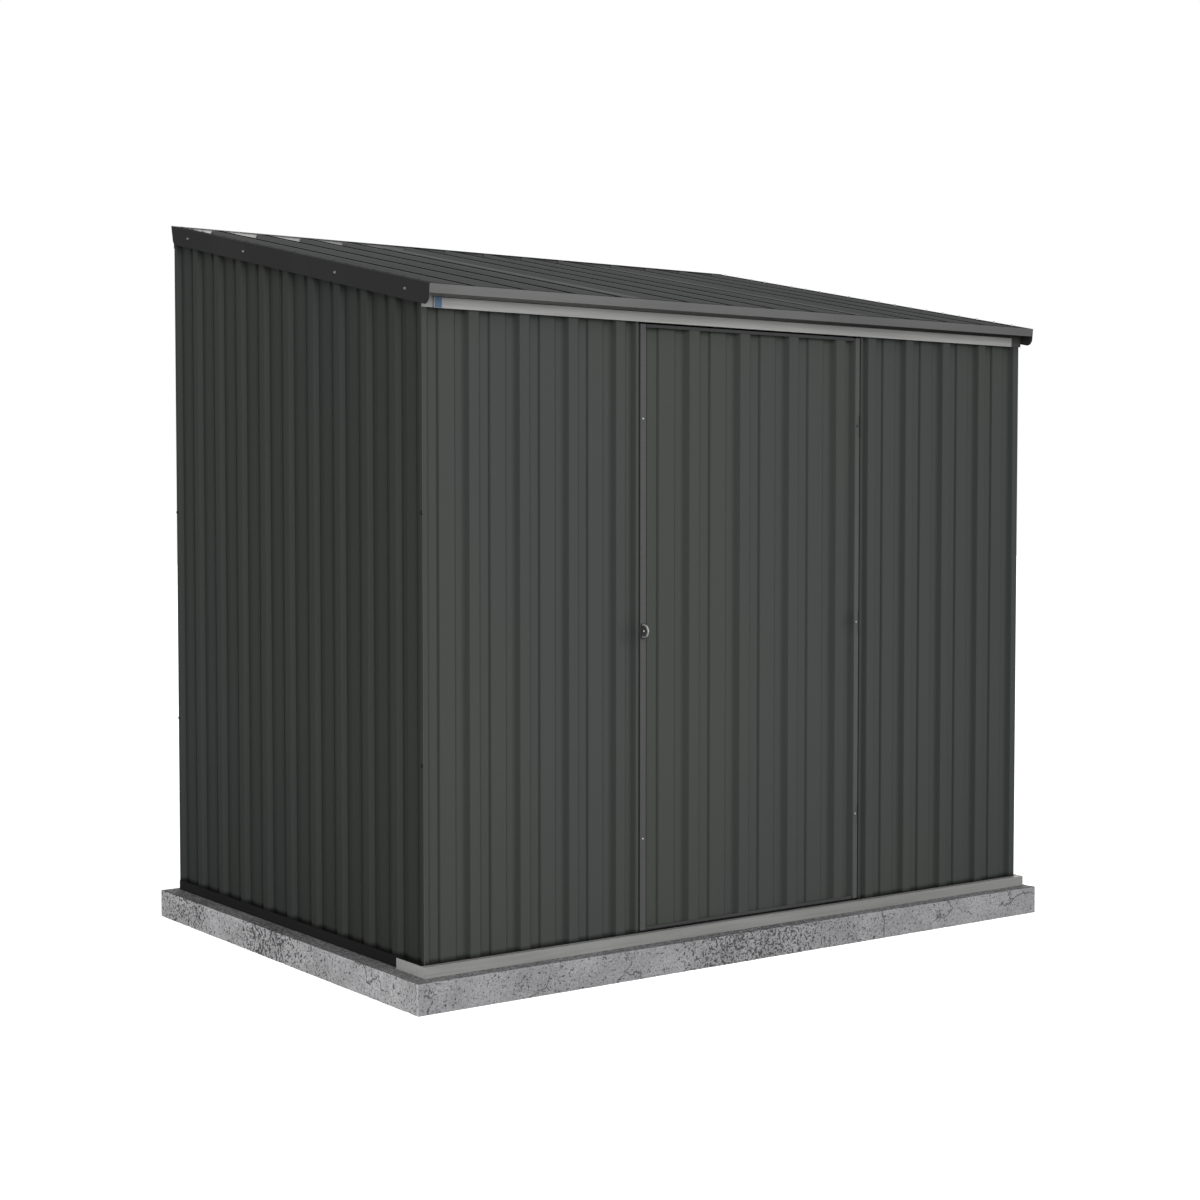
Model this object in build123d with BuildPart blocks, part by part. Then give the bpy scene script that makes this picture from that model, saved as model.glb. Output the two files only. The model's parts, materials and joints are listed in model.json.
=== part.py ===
"""Skillion tool shed of ribbed steel sheet on a concrete plinth, all sizes in millimetres.

The origin is the centre of the plinth's underside. X runs along the front from
left to right, Y runs from the front to the back and Z is up. The door is in the
low front wall, and the roof rises towards the back.
"""
import os
from math import atan2, cos, radians, sin, tan

from build123d import *

# Concrete plinth
slab_thickness = 84.0
slab_edge_chamfer = 3.0
slab_left_margin = 55.0
slab_right_margin = 37.0
slab_front_margin = 61.0
slab_rear_margin = 27.0

# Walls, measured over the rib crests
wall_width = 2220.0
wall_depth = 1514.0
front_height = 1784.0
roof_pitch = 11.51

# Rolled sheet profile
sheet_thickness = 0.8
rib_depth = 14.7
rib_crest = 30.0
rib_web_run = 7.2
rib_flat = 30.5
swage_height = 5.6
swage_run = 3.0
nominal_pitch = 158.6
nominal_side_pitch = 151.4
latch_side_crest_inset = 60.5
hinge_side_crest_inset = 47.8
right_corner_crest_inset = 6.4
rear_side_sheet_bays = 5
side_front_sheet_bays = 5

# Folded channels that hold the sheets
channel_thickness = 1.2
channel_clearance = 0.2
base_channel_height = 30.0
front_top_channel_leg = 49.0
side_top_channel_leg = 34.0

# Base strip that stands in front of the base channel
strip_height = 30.0
strip_stand_off = 20.0
left_return_stand_off = 11.0
right_return_stand_off = 21.0
return_length = 145.0

# Header above the door
header_height = 29.0
header_depth = 6.0
header_drop = 1.0
header_left_inset = 32.0
header_right_inset = 40.0

# Doorway and its jambs
doorway_left = 696.5
doorway_right = 1533.0
doorway_edge_crest = 8.0
jamb_thickness = 1.0
jamb_leg = 7.0

# Door leaf
door_side_gap = 5.6
door_hinge_gap = 5.6
door_top_gap = 6.0
door_bottom_gap = 6.0
door_metal = 1.0
latch_stile_face = 19.5
hinge_stile_face = 17.0
stile_back_leg = 22.0
rail_face = 9.0
door_sheet_stretch = 1.173
door_first_crest = 709.5

# Hinges
hinge_heights = (294.0, 876.0, 1467.0)
hinge_length = 60.0
hinge_leaf_thickness = 1.4
hinge_knuckle_radius = 3.6
hinge_pin_radius = 1.6
hinge_running_gap = 0.3
hinge_axis_proud = 4.2
hinge_leaf_depth = 12.0

# Latch
latch_height = 877.0
latch_plate_width = 17.0
latch_plate_height = 42.0
latch_plate_thickness = 2.0
latch_pin_radius = 3.0
latch_pin_length = 2.0
bow_inset = 3.0
bow_bar_radius = 2.8
bow_half_height = 17.0
bow_shoulder_half_height = 13.5
bow_root_length = 6.0
bow_shoulder_reach = 19.5
bow_reach = 26.3
bow_corner_radius = 8.0

# Roof
front_overhang = 50.0
rear_overhang = 6.0
side_overhang = 9.0
roof_rib_pitch = 158.2
left_roof_first_crest = -13.8
centre_roof_first_crest = 856.6
right_roof_first_crest = 1722.0
first_roof_joint = 738.0
second_roof_joint = 1605.5
barge_thickness = 1.0
barge_face = 55.0
barge_flange = 30.0
barge_front_lean = 6.0
barge_front_radius = 20.0
barge_rear_lean = 25.5
barge_rear_radius = 22.0
rear_cap_flange = 8.0
eave_channel_height = 24.0
eave_channel_flange = 22.0

# Places worked out from the sizes above
slab_length = slab_left_margin + wall_width + slab_right_margin
slab_width = slab_front_margin + wall_depth + slab_rear_margin
wall_left = -slab_length / 2 + slab_left_margin
wall_right = wall_left + wall_width
wall_front = -slab_width / 2 + slab_front_margin
wall_back = wall_front + wall_depth
slab_top = slab_thickness
sheet_depth = rib_depth + sheet_thickness
pocket = sheet_depth + channel_clearance
channel_depth = pocket + channel_thickness
pitch_angle = radians(roof_pitch)
slope = tan(pitch_angle)
roof_base = slab_top + front_height
sheet_foot = slab_top + channel_thickness
fold_rise = channel_thickness / cos(pitch_angle)
barge_inner = side_overhang - barge_thickness
lip_edge = 2 * sheet_thickness
corner_lip = rib_depth - sheet_thickness
door_left = wall_left + doorway_left + door_side_gap
door_right = wall_left + doorway_right - door_hinge_gap
door_bottom = slab_top + base_channel_height + door_bottom_gap
front_leg_bottom = roof_base - front_top_channel_leg
door_top = front_leg_bottom - door_top_gap
door_face = wall_front - door_metal
door_back = wall_front + sheet_depth + door_metal
hinge_axis_x = (door_right + wall_left + doorway_right) / 2
hinge_axis_y = wall_front - hinge_axis_proud

os.makedirs("parts", exist_ok=True)


def roof_height(y):
    """Height of the roof sheets' underside at a distance y from front to back."""
    return roof_base + (y - wall_front) * slope


def save(builder, name):
    """Label a finished piece and write its STEP file."""
    builder.part.label = name
    export_step(builder.part, f"parts/{name}.step")


def sheet_line(
    start, end, first_crest, pitch, stretch=1.0, lead_lip=0.0, tail_lip=0.0, lead_crest=0.0, tail_crest=0.0
):
    """Inner face of a ribbed sheet as points (run, height above the pans).

    Each rib is a flat crest between two sloping webs, and each pan between two
    ribs carries a low flat swage. A swage that the sheet's edge would cut is
    left out, so that the edge is flat. A lip folds the edge back into the room.
    An edge crest takes the edge up to the crests' level, on a web of its own.
    """
    half_crest = rib_crest * stretch / 2
    web = rib_web_run * stretch
    flat = rib_flat * stretch
    run = swage_run * stretch
    count = int((end - first_crest + half_crest) // pitch) + 1
    crests = [first_crest + pitch * index for index in range(-1, count + 1)]
    points = []
    for crest, following in zip(crests, crests[1:]):
        foot = crest + half_crest + web
        next_foot = following - half_crest - web
        points += [(crest - half_crest, rib_depth), (crest + half_crest, rib_depth), (foot, 0.0)]
        swage_start = foot + flat
        swage_end = next_foot - flat
        if swage_start > start and swage_end < end:
            points += [(swage_start, 0.0), (swage_start + run, swage_height)]
            points += [(swage_end - run, swage_height), (swage_end, 0.0)]
        points.append((next_foot, 0.0))
    first_foot = start + lead_crest + web if lead_crest else start
    last_foot = end - tail_crest - web if tail_crest else end
    kept = clip_line(points, first_foot, last_foot)
    if lead_crest:
        kept[:1] = [(start, rib_depth), (start + lead_crest, rib_depth), (first_foot, 0.0)]
    if tail_crest:
        kept[-1:] = [(last_foot, 0.0), (end - tail_crest, rib_depth), (end, rib_depth)]
    inner = [b for a, b, c in zip(kept, kept[1:], kept[2:]) if not a[1] == b[1] == c[1]]
    kept = [kept[0], *inner, kept[-1]]
    if lead_lip:
        kept.insert(0, (start, kept[0][1] - lead_lip))
    if tail_lip:
        kept.append((end, kept[-1][1] - tail_lip))
    return kept


def clip_line(points, start, end):
    """Part of a left-to-right line that lies between two runs."""
    kept = []
    for (x0, h0), (x1, h1) in zip(points, points[1:]):
        if x1 <= start or x0 >= end:
            continue
        for x in (max(x0, start), min(x1, end)):
            height = h0 + (h1 - h0) * (x - x0) / (x1 - x0)
            if not kept or abs(kept[-1][0] - x) > 1e-6:
                kept.append((x, height))
    return kept


def thickened(points, thickness):
    """Closed outline of a sheet: its inner face and the same face moved outwards.

    Each corner of the outer face is the meeting point of the two neighbouring
    lines after both have moved out by the thickness.
    """
    headings = [atan2(y1 - y0, x1 - x0) for (x0, y0), (x1, y1) in zip(points, points[1:])]
    before = [headings[0], *headings]
    after = [*headings, headings[-1]]
    outer = []
    for (x, y), a, b in zip(points, before, after):
        reach = thickness / cos((b - a) / 2)
        middle = (a + b) / 2
        outer.append((x - reach * sin(middle), y + reach * cos(middle)))
    return [*points, *reversed(outer)]


def outline(points):
    """Closed face through the points, in the sketch that is being built."""
    Polygon(*points, align=None)


# Directions of the four walls: runs along the wall, then height above the inner face
front_plane = Plane((wall_left, wall_front + sheet_depth, sheet_foot), x_dir=(1, 0, 0), z_dir=(0, 0, -1))
rear_plane = Plane((wall_left, wall_back - sheet_depth, sheet_foot), x_dir=(1, 0, 0), z_dir=(0, 0, 1))
left_plane = Plane((wall_left + sheet_depth, wall_front, sheet_foot), x_dir=(0, 1, 0), z_dir=(0, 0, 1))
right_plane = Plane((wall_right - sheet_depth, wall_front, sheet_foot), x_dir=(0, 1, 0), z_dir=(0, 0, -1))

# The roof's underside: across the slope, and along it seen from the right-hand end
across_roof = Plane(
    (wall_left, wall_front, roof_base), x_dir=(1, 0, 0), z_dir=(0, -cos(pitch_angle), -sin(pitch_angle))
)
along_roof = Plane(
    (wall_left, wall_front, roof_base), x_dir=(0, cos(pitch_angle), sin(pitch_angle)), z_dir=(1, 0, 0)
)
roof_underside = Plane(
    (wall_left, wall_front, roof_base), x_dir=(1, 0, 0), z_dir=(0, -sin(pitch_angle), cos(pitch_angle))
)

# Concrete plinth
with BuildPart() as slab:
    with BuildSketch():
        Rectangle(slab_length, slab_width)
    extrude(amount=slab_thickness)
    chamfer(slab.edges().group_by(Axis.Z)[-1], slab_edge_chamfer)
save(slab, "concrete_slab")


def corner_plane(x, y, x_side, y_side):
    """Vertical plane through a wall corner, along the mitre into the room."""
    return Plane((x, y, slab_top), x_dir=(x_side, y_side, 0), z_dir=(-y_side, x_side, 0))


mitres = {
    "front_left": corner_plane(wall_left, wall_front, 1, 1),
    "front_right": corner_plane(wall_right, wall_front, -1, 1),
    "rear_left": corner_plane(wall_left, wall_back, 1, -1),
    "rear_right": corner_plane(wall_right, wall_back, -1, -1),
}


def channel_section(outer_leg, inner_leg):
    """Upright U with its foot on the ground line, outer leg at negative runs."""
    return [
        (-channel_thickness, 0.0),
        (channel_depth, 0.0),
        (channel_depth, inner_leg),
        (pocket, inner_leg),
        (pocket, channel_thickness),
        (0.0, channel_thickness),
        (0.0, outer_leg),
        (-channel_thickness, outer_leg),
    ]


# Base channels: U sections mitred at the corners. The front and rear outer legs run through
base_section = channel_section(base_channel_height, base_channel_height)
for name, side_y, inward, cuts in (
    ("front_base_channel", wall_front, 1, ("front_left", "front_right")),
    ("rear_base_channel", wall_back, -1, ("rear_left", "rear_right")),
):
    with BuildPart() as channel:
        with BuildSketch(Plane.YZ.offset(wall_left)):
            outline([(side_y + inward * run, slab_top + height) for run, height in base_section])
        extrude(amount=wall_width)
        for cut in cuts:
            split(bisect_by=mitres[cut], keep=Keep.BOTTOM if (cut.endswith("left") == (inward > 0)) else Keep.TOP)
        with BuildSketch(Plane.YZ.offset(wall_left - channel_thickness)):
            with Locations((side_y - inward * channel_thickness / 2, slab_top + base_channel_height / 2)):
                Rectangle(channel_thickness, base_channel_height)
        extrude(amount=wall_width + 2 * channel_thickness)
    save(channel, name)

for name, side_x, inward, cuts in (
    ("left_base_channel", wall_left, 1, ("front_left", "rear_left")),
    ("right_base_channel", wall_right, -1, ("front_right", "rear_right")),
):
    with BuildPart() as channel:
        with BuildSketch(Plane.XZ.offset(-wall_front)):
            outline([(side_x + inward * run, slab_top + height) for run, height in base_section])
        extrude(amount=-wall_depth)
        for cut in cuts:
            split(bisect_by=mitres[cut], keep=Keep.TOP if (cut.startswith("front") == (inward > 0)) else Keep.BOTTOM)
    save(channel, name)

# Base strip: a C section whose face stands in front of the wall, with a return round each corner
strip_face = wall_front - strip_stand_off
strip_left = wall_left - left_return_stand_off
strip_right = wall_right + right_return_stand_off
channel_face = wall_front - channel_thickness
with BuildPart() as strip:
    with BuildSketch(Plane.YZ.offset(strip_left + channel_thickness)):
        outline(
            [
                (strip_face, slab_top),
                (channel_face, slab_top),
                (channel_face, slab_top + channel_thickness),
                (strip_face + channel_thickness, slab_top + channel_thickness),
                (strip_face + channel_thickness, slab_top + strip_height - channel_thickness),
                (channel_face, slab_top + strip_height - channel_thickness),
                (channel_face, slab_top + strip_height),
                (strip_face, slab_top + strip_height),
            ]
        )
    extrude(amount=strip_right - strip_left - 2 * channel_thickness)
save(strip, "front_base_strip")

for name, outer_x, wall_x, inward in (
    ("front_left_base_return", strip_left, wall_left - channel_thickness, 1),
    ("front_right_base_return", strip_right, wall_right + channel_thickness, -1),
):
    inner_x = outer_x + inward * channel_thickness
    with BuildPart() as corner_return:
        with BuildSketch(Plane.XZ.offset(-strip_face)):
            outline(
                [
                    (outer_x, slab_top),
                    (inner_x, slab_top),
                    (inner_x, slab_top + strip_height),
                    (outer_x, slab_top + strip_height),
                ]
            )
        extrude(amount=-return_length)
        with BuildSketch(Plane.XZ.offset(-channel_face)):
            outline(
                [
                    (outer_x, slab_top),
                    (wall_x, slab_top),
                    (wall_x, slab_top + channel_thickness),
                    (outer_x, slab_top + channel_thickness),
                ]
            )
        extrude(amount=-(return_length + strip_face - channel_face))
    save(corner_return, name)


def wall_sheet(name, plane, line, top):
    """Flat-topped wall sheet with its profile drawn on a wall's plane."""
    with BuildPart() as sheet:
        with BuildSketch(plane):
            outline(thickened(line, sheet_thickness))
        extrude(amount=top - sheet_foot, dir=(0, 0, 1))
    save(sheet, name)


def even_pitch(span, nominal):
    """Rib pitch nearest to the nominal one that divides a span into whole bays."""
    return span / max(1, round(span / nominal))


# Front wall, either side of the door. Each sheet has a lip behind the side wall's corner crest,
# and a narrow crest along the doorway
front_sheet_top = roof_base - fold_rise
left_rib_pitch = even_pitch(doorway_left - latch_side_crest_inset, nominal_pitch)
front_left_line = sheet_line(
    lip_edge, doorway_left, 0.0, left_rib_pitch, lead_lip=corner_lip, tail_crest=doorway_edge_crest
)
wall_sheet("front_left_panel", front_plane, front_left_line, front_sheet_top)

right_first_crest = doorway_right + hinge_side_crest_inset
right_last_crest = wall_width - right_corner_crest_inset
right_rib_pitch = even_pitch(right_last_crest - right_first_crest, nominal_pitch)
front_right_line = sheet_line(
    doorway_right,
    wall_width - lip_edge,
    right_first_crest,
    right_rib_pitch,
    tail_lip=corner_lip,
    lead_crest=doorway_edge_crest,
)
wall_sheet("front_right_panel", front_plane, front_right_line, front_sheet_top)

# Rear wall in three sheets that meet on crests
rear_pitch = even_pitch(wall_width, nominal_pitch)
rear_joints = (
    lip_edge,
    rear_side_sheet_bays * rear_pitch,
    wall_width - rear_side_sheet_bays * rear_pitch,
    wall_width - lip_edge,
)
rear_sheet_top = roof_height(wall_back - channel_depth) - fold_rise
for name, start, end in zip(
    ("rear_wall_left_panel", "rear_wall_centre_panel", "rear_wall_right_panel"), rear_joints, rear_joints[1:]
):
    rear_line = sheet_line(
        start,
        end,
        0.0,
        rear_pitch,
        lead_lip=corner_lip if name == "rear_wall_left_panel" else 0.0,
        tail_lip=corner_lip if name == "rear_wall_right_panel" else 0.0,
    )
    wall_sheet(name, rear_plane, rear_line, rear_sheet_top)

# Side walls in two sheets each, cut off under the slope of the top channel
side_pitch = even_pitch(wall_depth, nominal_side_pitch)
side_joint = side_front_sheet_bays * side_pitch
side_sheet_height = roof_height(wall_back) - sheet_foot
for side, plane in (("left", left_plane), ("right", right_plane)):
    for place, start, end in (("front", 0.0, side_joint), ("rear", side_joint, wall_depth)):
        with BuildPart() as side_sheet:
            with BuildSketch(plane):
                outline(thickened(sheet_line(start, end, 0.0, side_pitch), sheet_thickness))
            extrude(amount=side_sheet_height, dir=(0, 0, 1))
            split(bisect_by=roof_underside.offset(-channel_thickness), keep=Keep.BOTTOM)
        save(side_sheet, f"{side}_wall_{place}_panel")


def top_channel(name, side_y, inward, cuts, right_tab):
    """Top channel of the front or rear wall, with its web folded to the roof's slope."""
    leg_bottom = min(roof_height(side_y), roof_height(side_y + inward * channel_depth)) - front_top_channel_leg
    runs = (-channel_thickness, channel_depth, channel_depth, pocket, pocket, 0.0, 0.0, -channel_thickness)
    under = (False, False, True, True, False, False, True, True)
    folded = (0.0, 0.0, 0.0, 0.0, fold_rise, fold_rise, 0.0, 0.0)
    section = [
        (side_y + inward * run, leg_bottom if low else roof_height(side_y + inward * run) - drop)
        for run, low, drop in zip(runs, under, folded)
    ]
    outer_leg = [
        (side_y - inward * channel_thickness, leg_bottom),
        (side_y, leg_bottom),
        (side_y, roof_height(side_y)),
        (side_y - inward * channel_thickness, roof_height(side_y - inward * channel_thickness)),
    ]
    with BuildPart() as channel:
        with BuildSketch(Plane.YZ.offset(wall_left)):
            outline(section)
        extrude(amount=wall_width)
        for cut in cuts:
            split(bisect_by=mitres[cut], keep=Keep.BOTTOM if (cut.endswith("left") == (inward > 0)) else Keep.TOP)
        with BuildSketch(Plane.YZ.offset(wall_left - channel_thickness)):
            outline(outer_leg)
        extrude(amount=wall_width + channel_thickness + right_tab)
    save(channel, name)


top_channel("front_top_channel", wall_front, 1, ("front_left", "front_right"), barge_inner)
top_channel("rear_top_channel", wall_back, -1, ("rear_left", "rear_right"), channel_thickness)

# Side top channels follow the slope and are mitred to the front and rear ones
slope_length = wall_depth / cos(pitch_angle)
for name, side_x, inward, cuts in (
    ("left_top_channel", 0.0, 1, ("front_left", "rear_left")),
    ("right_top_channel", wall_width, -1, ("front_right", "rear_right")),
):
    with BuildPart() as channel:
        with BuildSketch(across_roof.offset(channel_depth)):
            outline(
                [
                    (side_x + inward * run, -height)
                    for run, height in channel_section(side_top_channel_leg, side_top_channel_leg)
                ]
            )
        extrude(amount=-(slope_length + 2 * channel_depth))
        for cut in cuts:
            split(bisect_by=mitres[cut], keep=Keep.TOP if (cut.startswith("front") == (inward > 0)) else Keep.BOTTOM)
        split(bisect_by=Plane.XZ.offset(-wall_front), keep=Keep.BOTTOM)
        split(bisect_by=Plane.XZ.offset(-wall_back), keep=Keep.TOP)
    save(channel, name)

# Door header: a shallow channel on the face of the front top channel
with BuildPart() as header:
    with BuildSketch(Plane.YZ.offset(wall_left + header_left_inset)):
        header_back = wall_front - channel_thickness
        header_face = header_back - header_depth
        header_low = front_leg_bottom - header_drop
        header_high = header_low + header_height
        outline(
            [
                (header_back, header_low),
                (header_face, header_low),
                (header_face, header_high),
                (header_back, header_high),
                (header_back, header_high - channel_thickness),
                (header_face + channel_thickness, header_high - channel_thickness),
                (header_face + channel_thickness, header_low + channel_thickness),
                (header_back, header_low + channel_thickness),
            ]
        )
    extrude(amount=wall_width - header_left_inset - header_right_inset)
save(header, "door_header_channel")

# Jambs: channels that stand inside the wall sheets' edge crests, with the web in the doorway
jamb_front = wall_front + sheet_thickness
jamb_back = wall_front + sheet_depth
for name, edge, outward in (
    ("latch_jamb", wall_left + doorway_left, -1),
    ("hinge_jamb", wall_left + doorway_right, 1),
):
    with BuildPart() as jamb:
        with BuildSketch(Plane.XY.offset(sheet_foot)):
            outline(
                [
                    (edge, jamb_front),
                    (edge + outward * jamb_leg, jamb_front),
                    (edge + outward * jamb_leg, jamb_front + jamb_thickness),
                    (edge + outward * jamb_thickness, jamb_front + jamb_thickness),
                    (edge + outward * jamb_thickness, jamb_back - jamb_thickness),
                    (edge + outward * jamb_leg, jamb_back - jamb_thickness),
                    (edge + outward * jamb_leg, jamb_back),
                    (edge, jamb_back),
                ]
            )
        extrude(amount=front_sheet_top - sheet_foot)
    save(jamb, name)

# Roof sheets: ribs run down the slope, crests upwards
roof_sheet_left = -barge_inner
roof_sheet_right = wall_width + barge_inner
eave_run = front_overhang / cos(pitch_angle)
rear_run = (wall_depth + rear_overhang) / cos(pitch_angle)
cap_top = sheet_depth + barge_thickness
rear_lean = barge_rear_lean / barge_face
sheet_start_run = eave_run - barge_thickness
sheet_end_run = rear_run - rear_lean * cap_top - barge_thickness
for name, start, end, first_crest in (
    ("roof_left_panel", roof_sheet_left, first_roof_joint, left_roof_first_crest),
    ("roof_centre_panel", first_roof_joint, second_roof_joint, centre_roof_first_crest),
    ("roof_right_panel", second_roof_joint, roof_sheet_right, right_roof_first_crest),
):
    with BuildPart() as roof_sheet:
        with BuildSketch(across_roof.offset(sheet_start_run)):
            outline(thickened(sheet_line(start, end, first_crest, roof_rib_pitch), sheet_thickness))
        extrude(amount=-(sheet_start_run + sheet_end_run))
    save(roof_sheet, name)

# Eave channel along the low edge: a C section that grips the roof sheets' ends
eave_low = cap_top - eave_channel_height
with BuildPart() as eave_channel:
    with BuildSketch(along_roof.offset(roof_sheet_left)):
        outline(
            [
                (-eave_run, eave_low),
                (-eave_run + eave_channel_flange, eave_low),
                (-eave_run + eave_channel_flange, eave_low + barge_thickness),
                (-eave_run + barge_thickness, eave_low + barge_thickness),
                (-eave_run + barge_thickness, sheet_depth),
                (-eave_run + eave_channel_flange, sheet_depth),
                (-eave_run + eave_channel_flange, cap_top),
                (-eave_run, cap_top),
            ]
        )
    extrude(amount=roof_sheet_right - roof_sheet_left)
save(eave_channel, "roof_front_channel")

# Rear cap along the high edge: an angle that closes the sheets' ends, leaning as the barge caps' ends do
with BuildPart() as rear_cap:
    with BuildSketch(along_roof.offset(roof_sheet_left)):
        outline(
            [
                (sheet_end_run, 0.0),
                (sheet_end_run + barge_thickness, 0.0),
                (rear_run + rear_lean * barge_thickness, cap_top + barge_thickness),
                (rear_run - rear_cap_flange, cap_top + barge_thickness),
                (rear_run - rear_cap_flange, cap_top),
                (rear_run - barge_thickness, cap_top),
            ]
        )
    extrude(amount=roof_sheet_right - roof_sheet_left)
save(rear_cap, "roof_rear_cap")

# Barge caps: a deep face with rounded lower ends and a flange on the outer rib crest
for name, outer, inward in (
    ("left_barge_cap", -side_overhang, 1),
    ("right_barge_cap", wall_width + side_overhang, -1),
):
    with BuildPart() as barge:
        with BuildSketch(along_roof.offset(outer)) as barge_face_sketch:
            with BuildLine():
                Polyline(
                    (-eave_run, cap_top),
                    (rear_run, cap_top),
                    (rear_run - barge_rear_lean, cap_top - barge_face),
                    (-eave_run - barge_front_lean, cap_top - barge_face),
                    close=True,
                )
            make_face()
            low_corners = barge_face_sketch.vertices().group_by(Axis.Y)[0].sort_by(Axis.X)
            fillet(low_corners[0], barge_front_radius)
            fillet(barge_face_sketch.vertices().group_by(Axis.Y)[0].sort_by(Axis.X)[-1], barge_rear_radius)
        extrude(amount=inward * barge_thickness)
        with BuildSketch(along_roof.offset(outer)):
            with Locations((-eave_run + eave_channel_flange, sheet_depth)):
                Rectangle(
                    sheet_end_run + eave_run - eave_channel_flange, barge_thickness, align=(Align.MIN, Align.MIN)
                )
        extrude(amount=inward * barge_flange)
    save(barge, name)

# Door sheet: the wall profile stretched, with edge crests under the faces of the stiles
door_sheet_left = door_left - wall_left + door_metal
door_sheet_right = door_right - wall_left - door_metal
door_pitch = nominal_pitch * door_sheet_stretch
door_sheet_bottom = door_bottom + door_metal
door_sheet_top = door_top - door_metal
with BuildPart() as door_sheet:
    with BuildSketch(front_plane.offset(sheet_foot - door_sheet_bottom)):
        door_line = sheet_line(
            door_sheet_left,
            door_sheet_right,
            door_first_crest,
            door_pitch,
            stretch=door_sheet_stretch,
            lead_crest=latch_stile_face - door_metal,
            tail_crest=hinge_stile_face - door_metal,
        )
        outline(thickened(door_line, sheet_thickness))
    extrude(amount=door_sheet_top - door_sheet_bottom, dir=(0, 0, 1))
save(door_sheet, "door_panel")


def stile_section(edge, inward, face):
    """Deep U round the edge of the door sheet, in plan."""
    return [
        (edge, door_face),
        (edge + inward * face, door_face),
        (edge + inward * face, wall_front),
        (edge + inward * door_metal, wall_front),
        (edge + inward * door_metal, door_back - door_metal),
        (edge + inward * stile_back_leg, door_back - door_metal),
        (edge + inward * stile_back_leg, door_back),
        (edge, door_back),
    ]


for name, edge, inward, face in (
    ("door_latch_stile", door_left, 1, latch_stile_face),
    ("door_hinge_stile", door_right, -1, hinge_stile_face),
):
    with BuildPart() as stile:
        with BuildSketch(Plane.XY.offset(door_bottom)):
            outline(stile_section(edge, inward, face))
        extrude(amount=door_top - door_bottom)
    save(stile, name)

# Door rails: the same U laid flat, between the stiles
rail_left = door_left + stile_back_leg
rail_right = door_right - stile_back_leg
for name, edge, inward in (
    ("door_bottom_rail", door_bottom, 1),
    ("door_top_rail", door_top, -1),
):
    with BuildPart() as rail:
        with BuildSketch(Plane.YZ.offset(rail_left)):
            outline(
                [
                    (door_face, edge),
                    (door_back, edge),
                    (door_back, edge + inward * rail_face),
                    (door_back - door_metal, edge + inward * rail_face),
                    (door_back - door_metal, edge + inward * door_metal),
                    (wall_front, edge + inward * door_metal),
                    (wall_front, edge + inward * rail_face),
                    (door_face, edge + inward * rail_face),
                ]
            )
        extrude(amount=rail_right - rail_left)
    save(rail, name)

# Hinges: three butt hinges in the gap between stile and jamb
knuckle_length = (hinge_length - 2 * hinge_running_gap) / 3
knuckle_pitch = knuckle_length + hinge_running_gap
leaf_back = wall_front + hinge_leaf_depth


def hinge_leaves(name, edge, outward, knuckle_levels, pin):
    """One leaf at every hinge height: plate, knuckles and, on the frame's side, the pin."""
    plate_x = edge - outward * hinge_leaf_thickness / 2
    with BuildPart() as leaves:
        for height in hinge_heights:
            low = slab_top + height - hinge_length / 2
            with BuildSketch(Plane.XY.offset(low)):
                with Locations((plate_x, (wall_front + leaf_back) / 2)):
                    Rectangle(hinge_leaf_thickness, leaf_back - wall_front)
            extrude(amount=hinge_length)
            for level in knuckle_levels:
                with BuildSketch(Plane.XY.offset(low + level * knuckle_pitch)):
                    with Locations((hinge_axis_x, hinge_axis_y)):
                        Circle(hinge_knuckle_radius)
                    with Locations((plate_x, (hinge_axis_y + wall_front) / 2)):
                        Rectangle(hinge_leaf_thickness, wall_front - hinge_axis_y)
                    if not pin:
                        with Locations((hinge_axis_x, hinge_axis_y)):
                            Circle(hinge_pin_radius + hinge_running_gap, mode=Mode.SUBTRACT)
                extrude(amount=knuckle_length)
            if pin:
                with BuildSketch(Plane.XY.offset(low)):
                    with Locations((hinge_axis_x, hinge_axis_y)):
                        Circle(hinge_pin_radius)
                extrude(amount=hinge_length)
    save(leaves, name)


hinge_leaves("hinge_frame_leaves", wall_left + doorway_right, 1, (0, 2), True)
hinge_leaves("hinge_door_leaves", door_right, -1, (1,), False)

# Latch: a small plate with a pin, and a bow handle bent from round bar that stands out of the door
latch_z = slab_top + latch_height
latch_x = door_left + latch_stile_face / 2
latch_face = door_face - latch_plate_thickness
with BuildPart() as latch_plate:
    with BuildSketch(Plane.XZ.offset(-door_face)):
        with Locations((latch_x, latch_z)):
            RectangleRounded(latch_plate_width, latch_plate_height, latch_plate_width / 6)
    extrude(amount=latch_plate_thickness)
    with BuildSketch(Plane.XZ.offset(-latch_face)):
        with Locations((latch_x, latch_z)):
            Circle(latch_pin_radius)
    extrude(amount=latch_pin_length)
save(latch_plate, "latch_plate")

bow_x = latch_x - bow_inset
bow_side = [
    (0.0, bow_half_height),
    (bow_root_length, bow_half_height),
    (bow_shoulder_reach, bow_shoulder_half_height),
]
bow_line = [*bow_side, (bow_reach, 0.0), *((reach, -height) for reach, height in reversed(bow_side))]
with BuildPart() as bow:
    with BuildLine():
        FilletPolyline(
            *[(bow_x, latch_face - reach, latch_z + height) for reach, height in bow_line],
            radius=bow_corner_radius,
        )
    with BuildSketch(Plane((bow_x, latch_face, latch_z + bow_half_height), z_dir=(0, -1, 0))):
        Circle(bow_bar_radius)
    sweep()
save(bow, "latch_bow")
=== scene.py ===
import json
from math import cos, pi, radians, sin, tan

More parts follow.
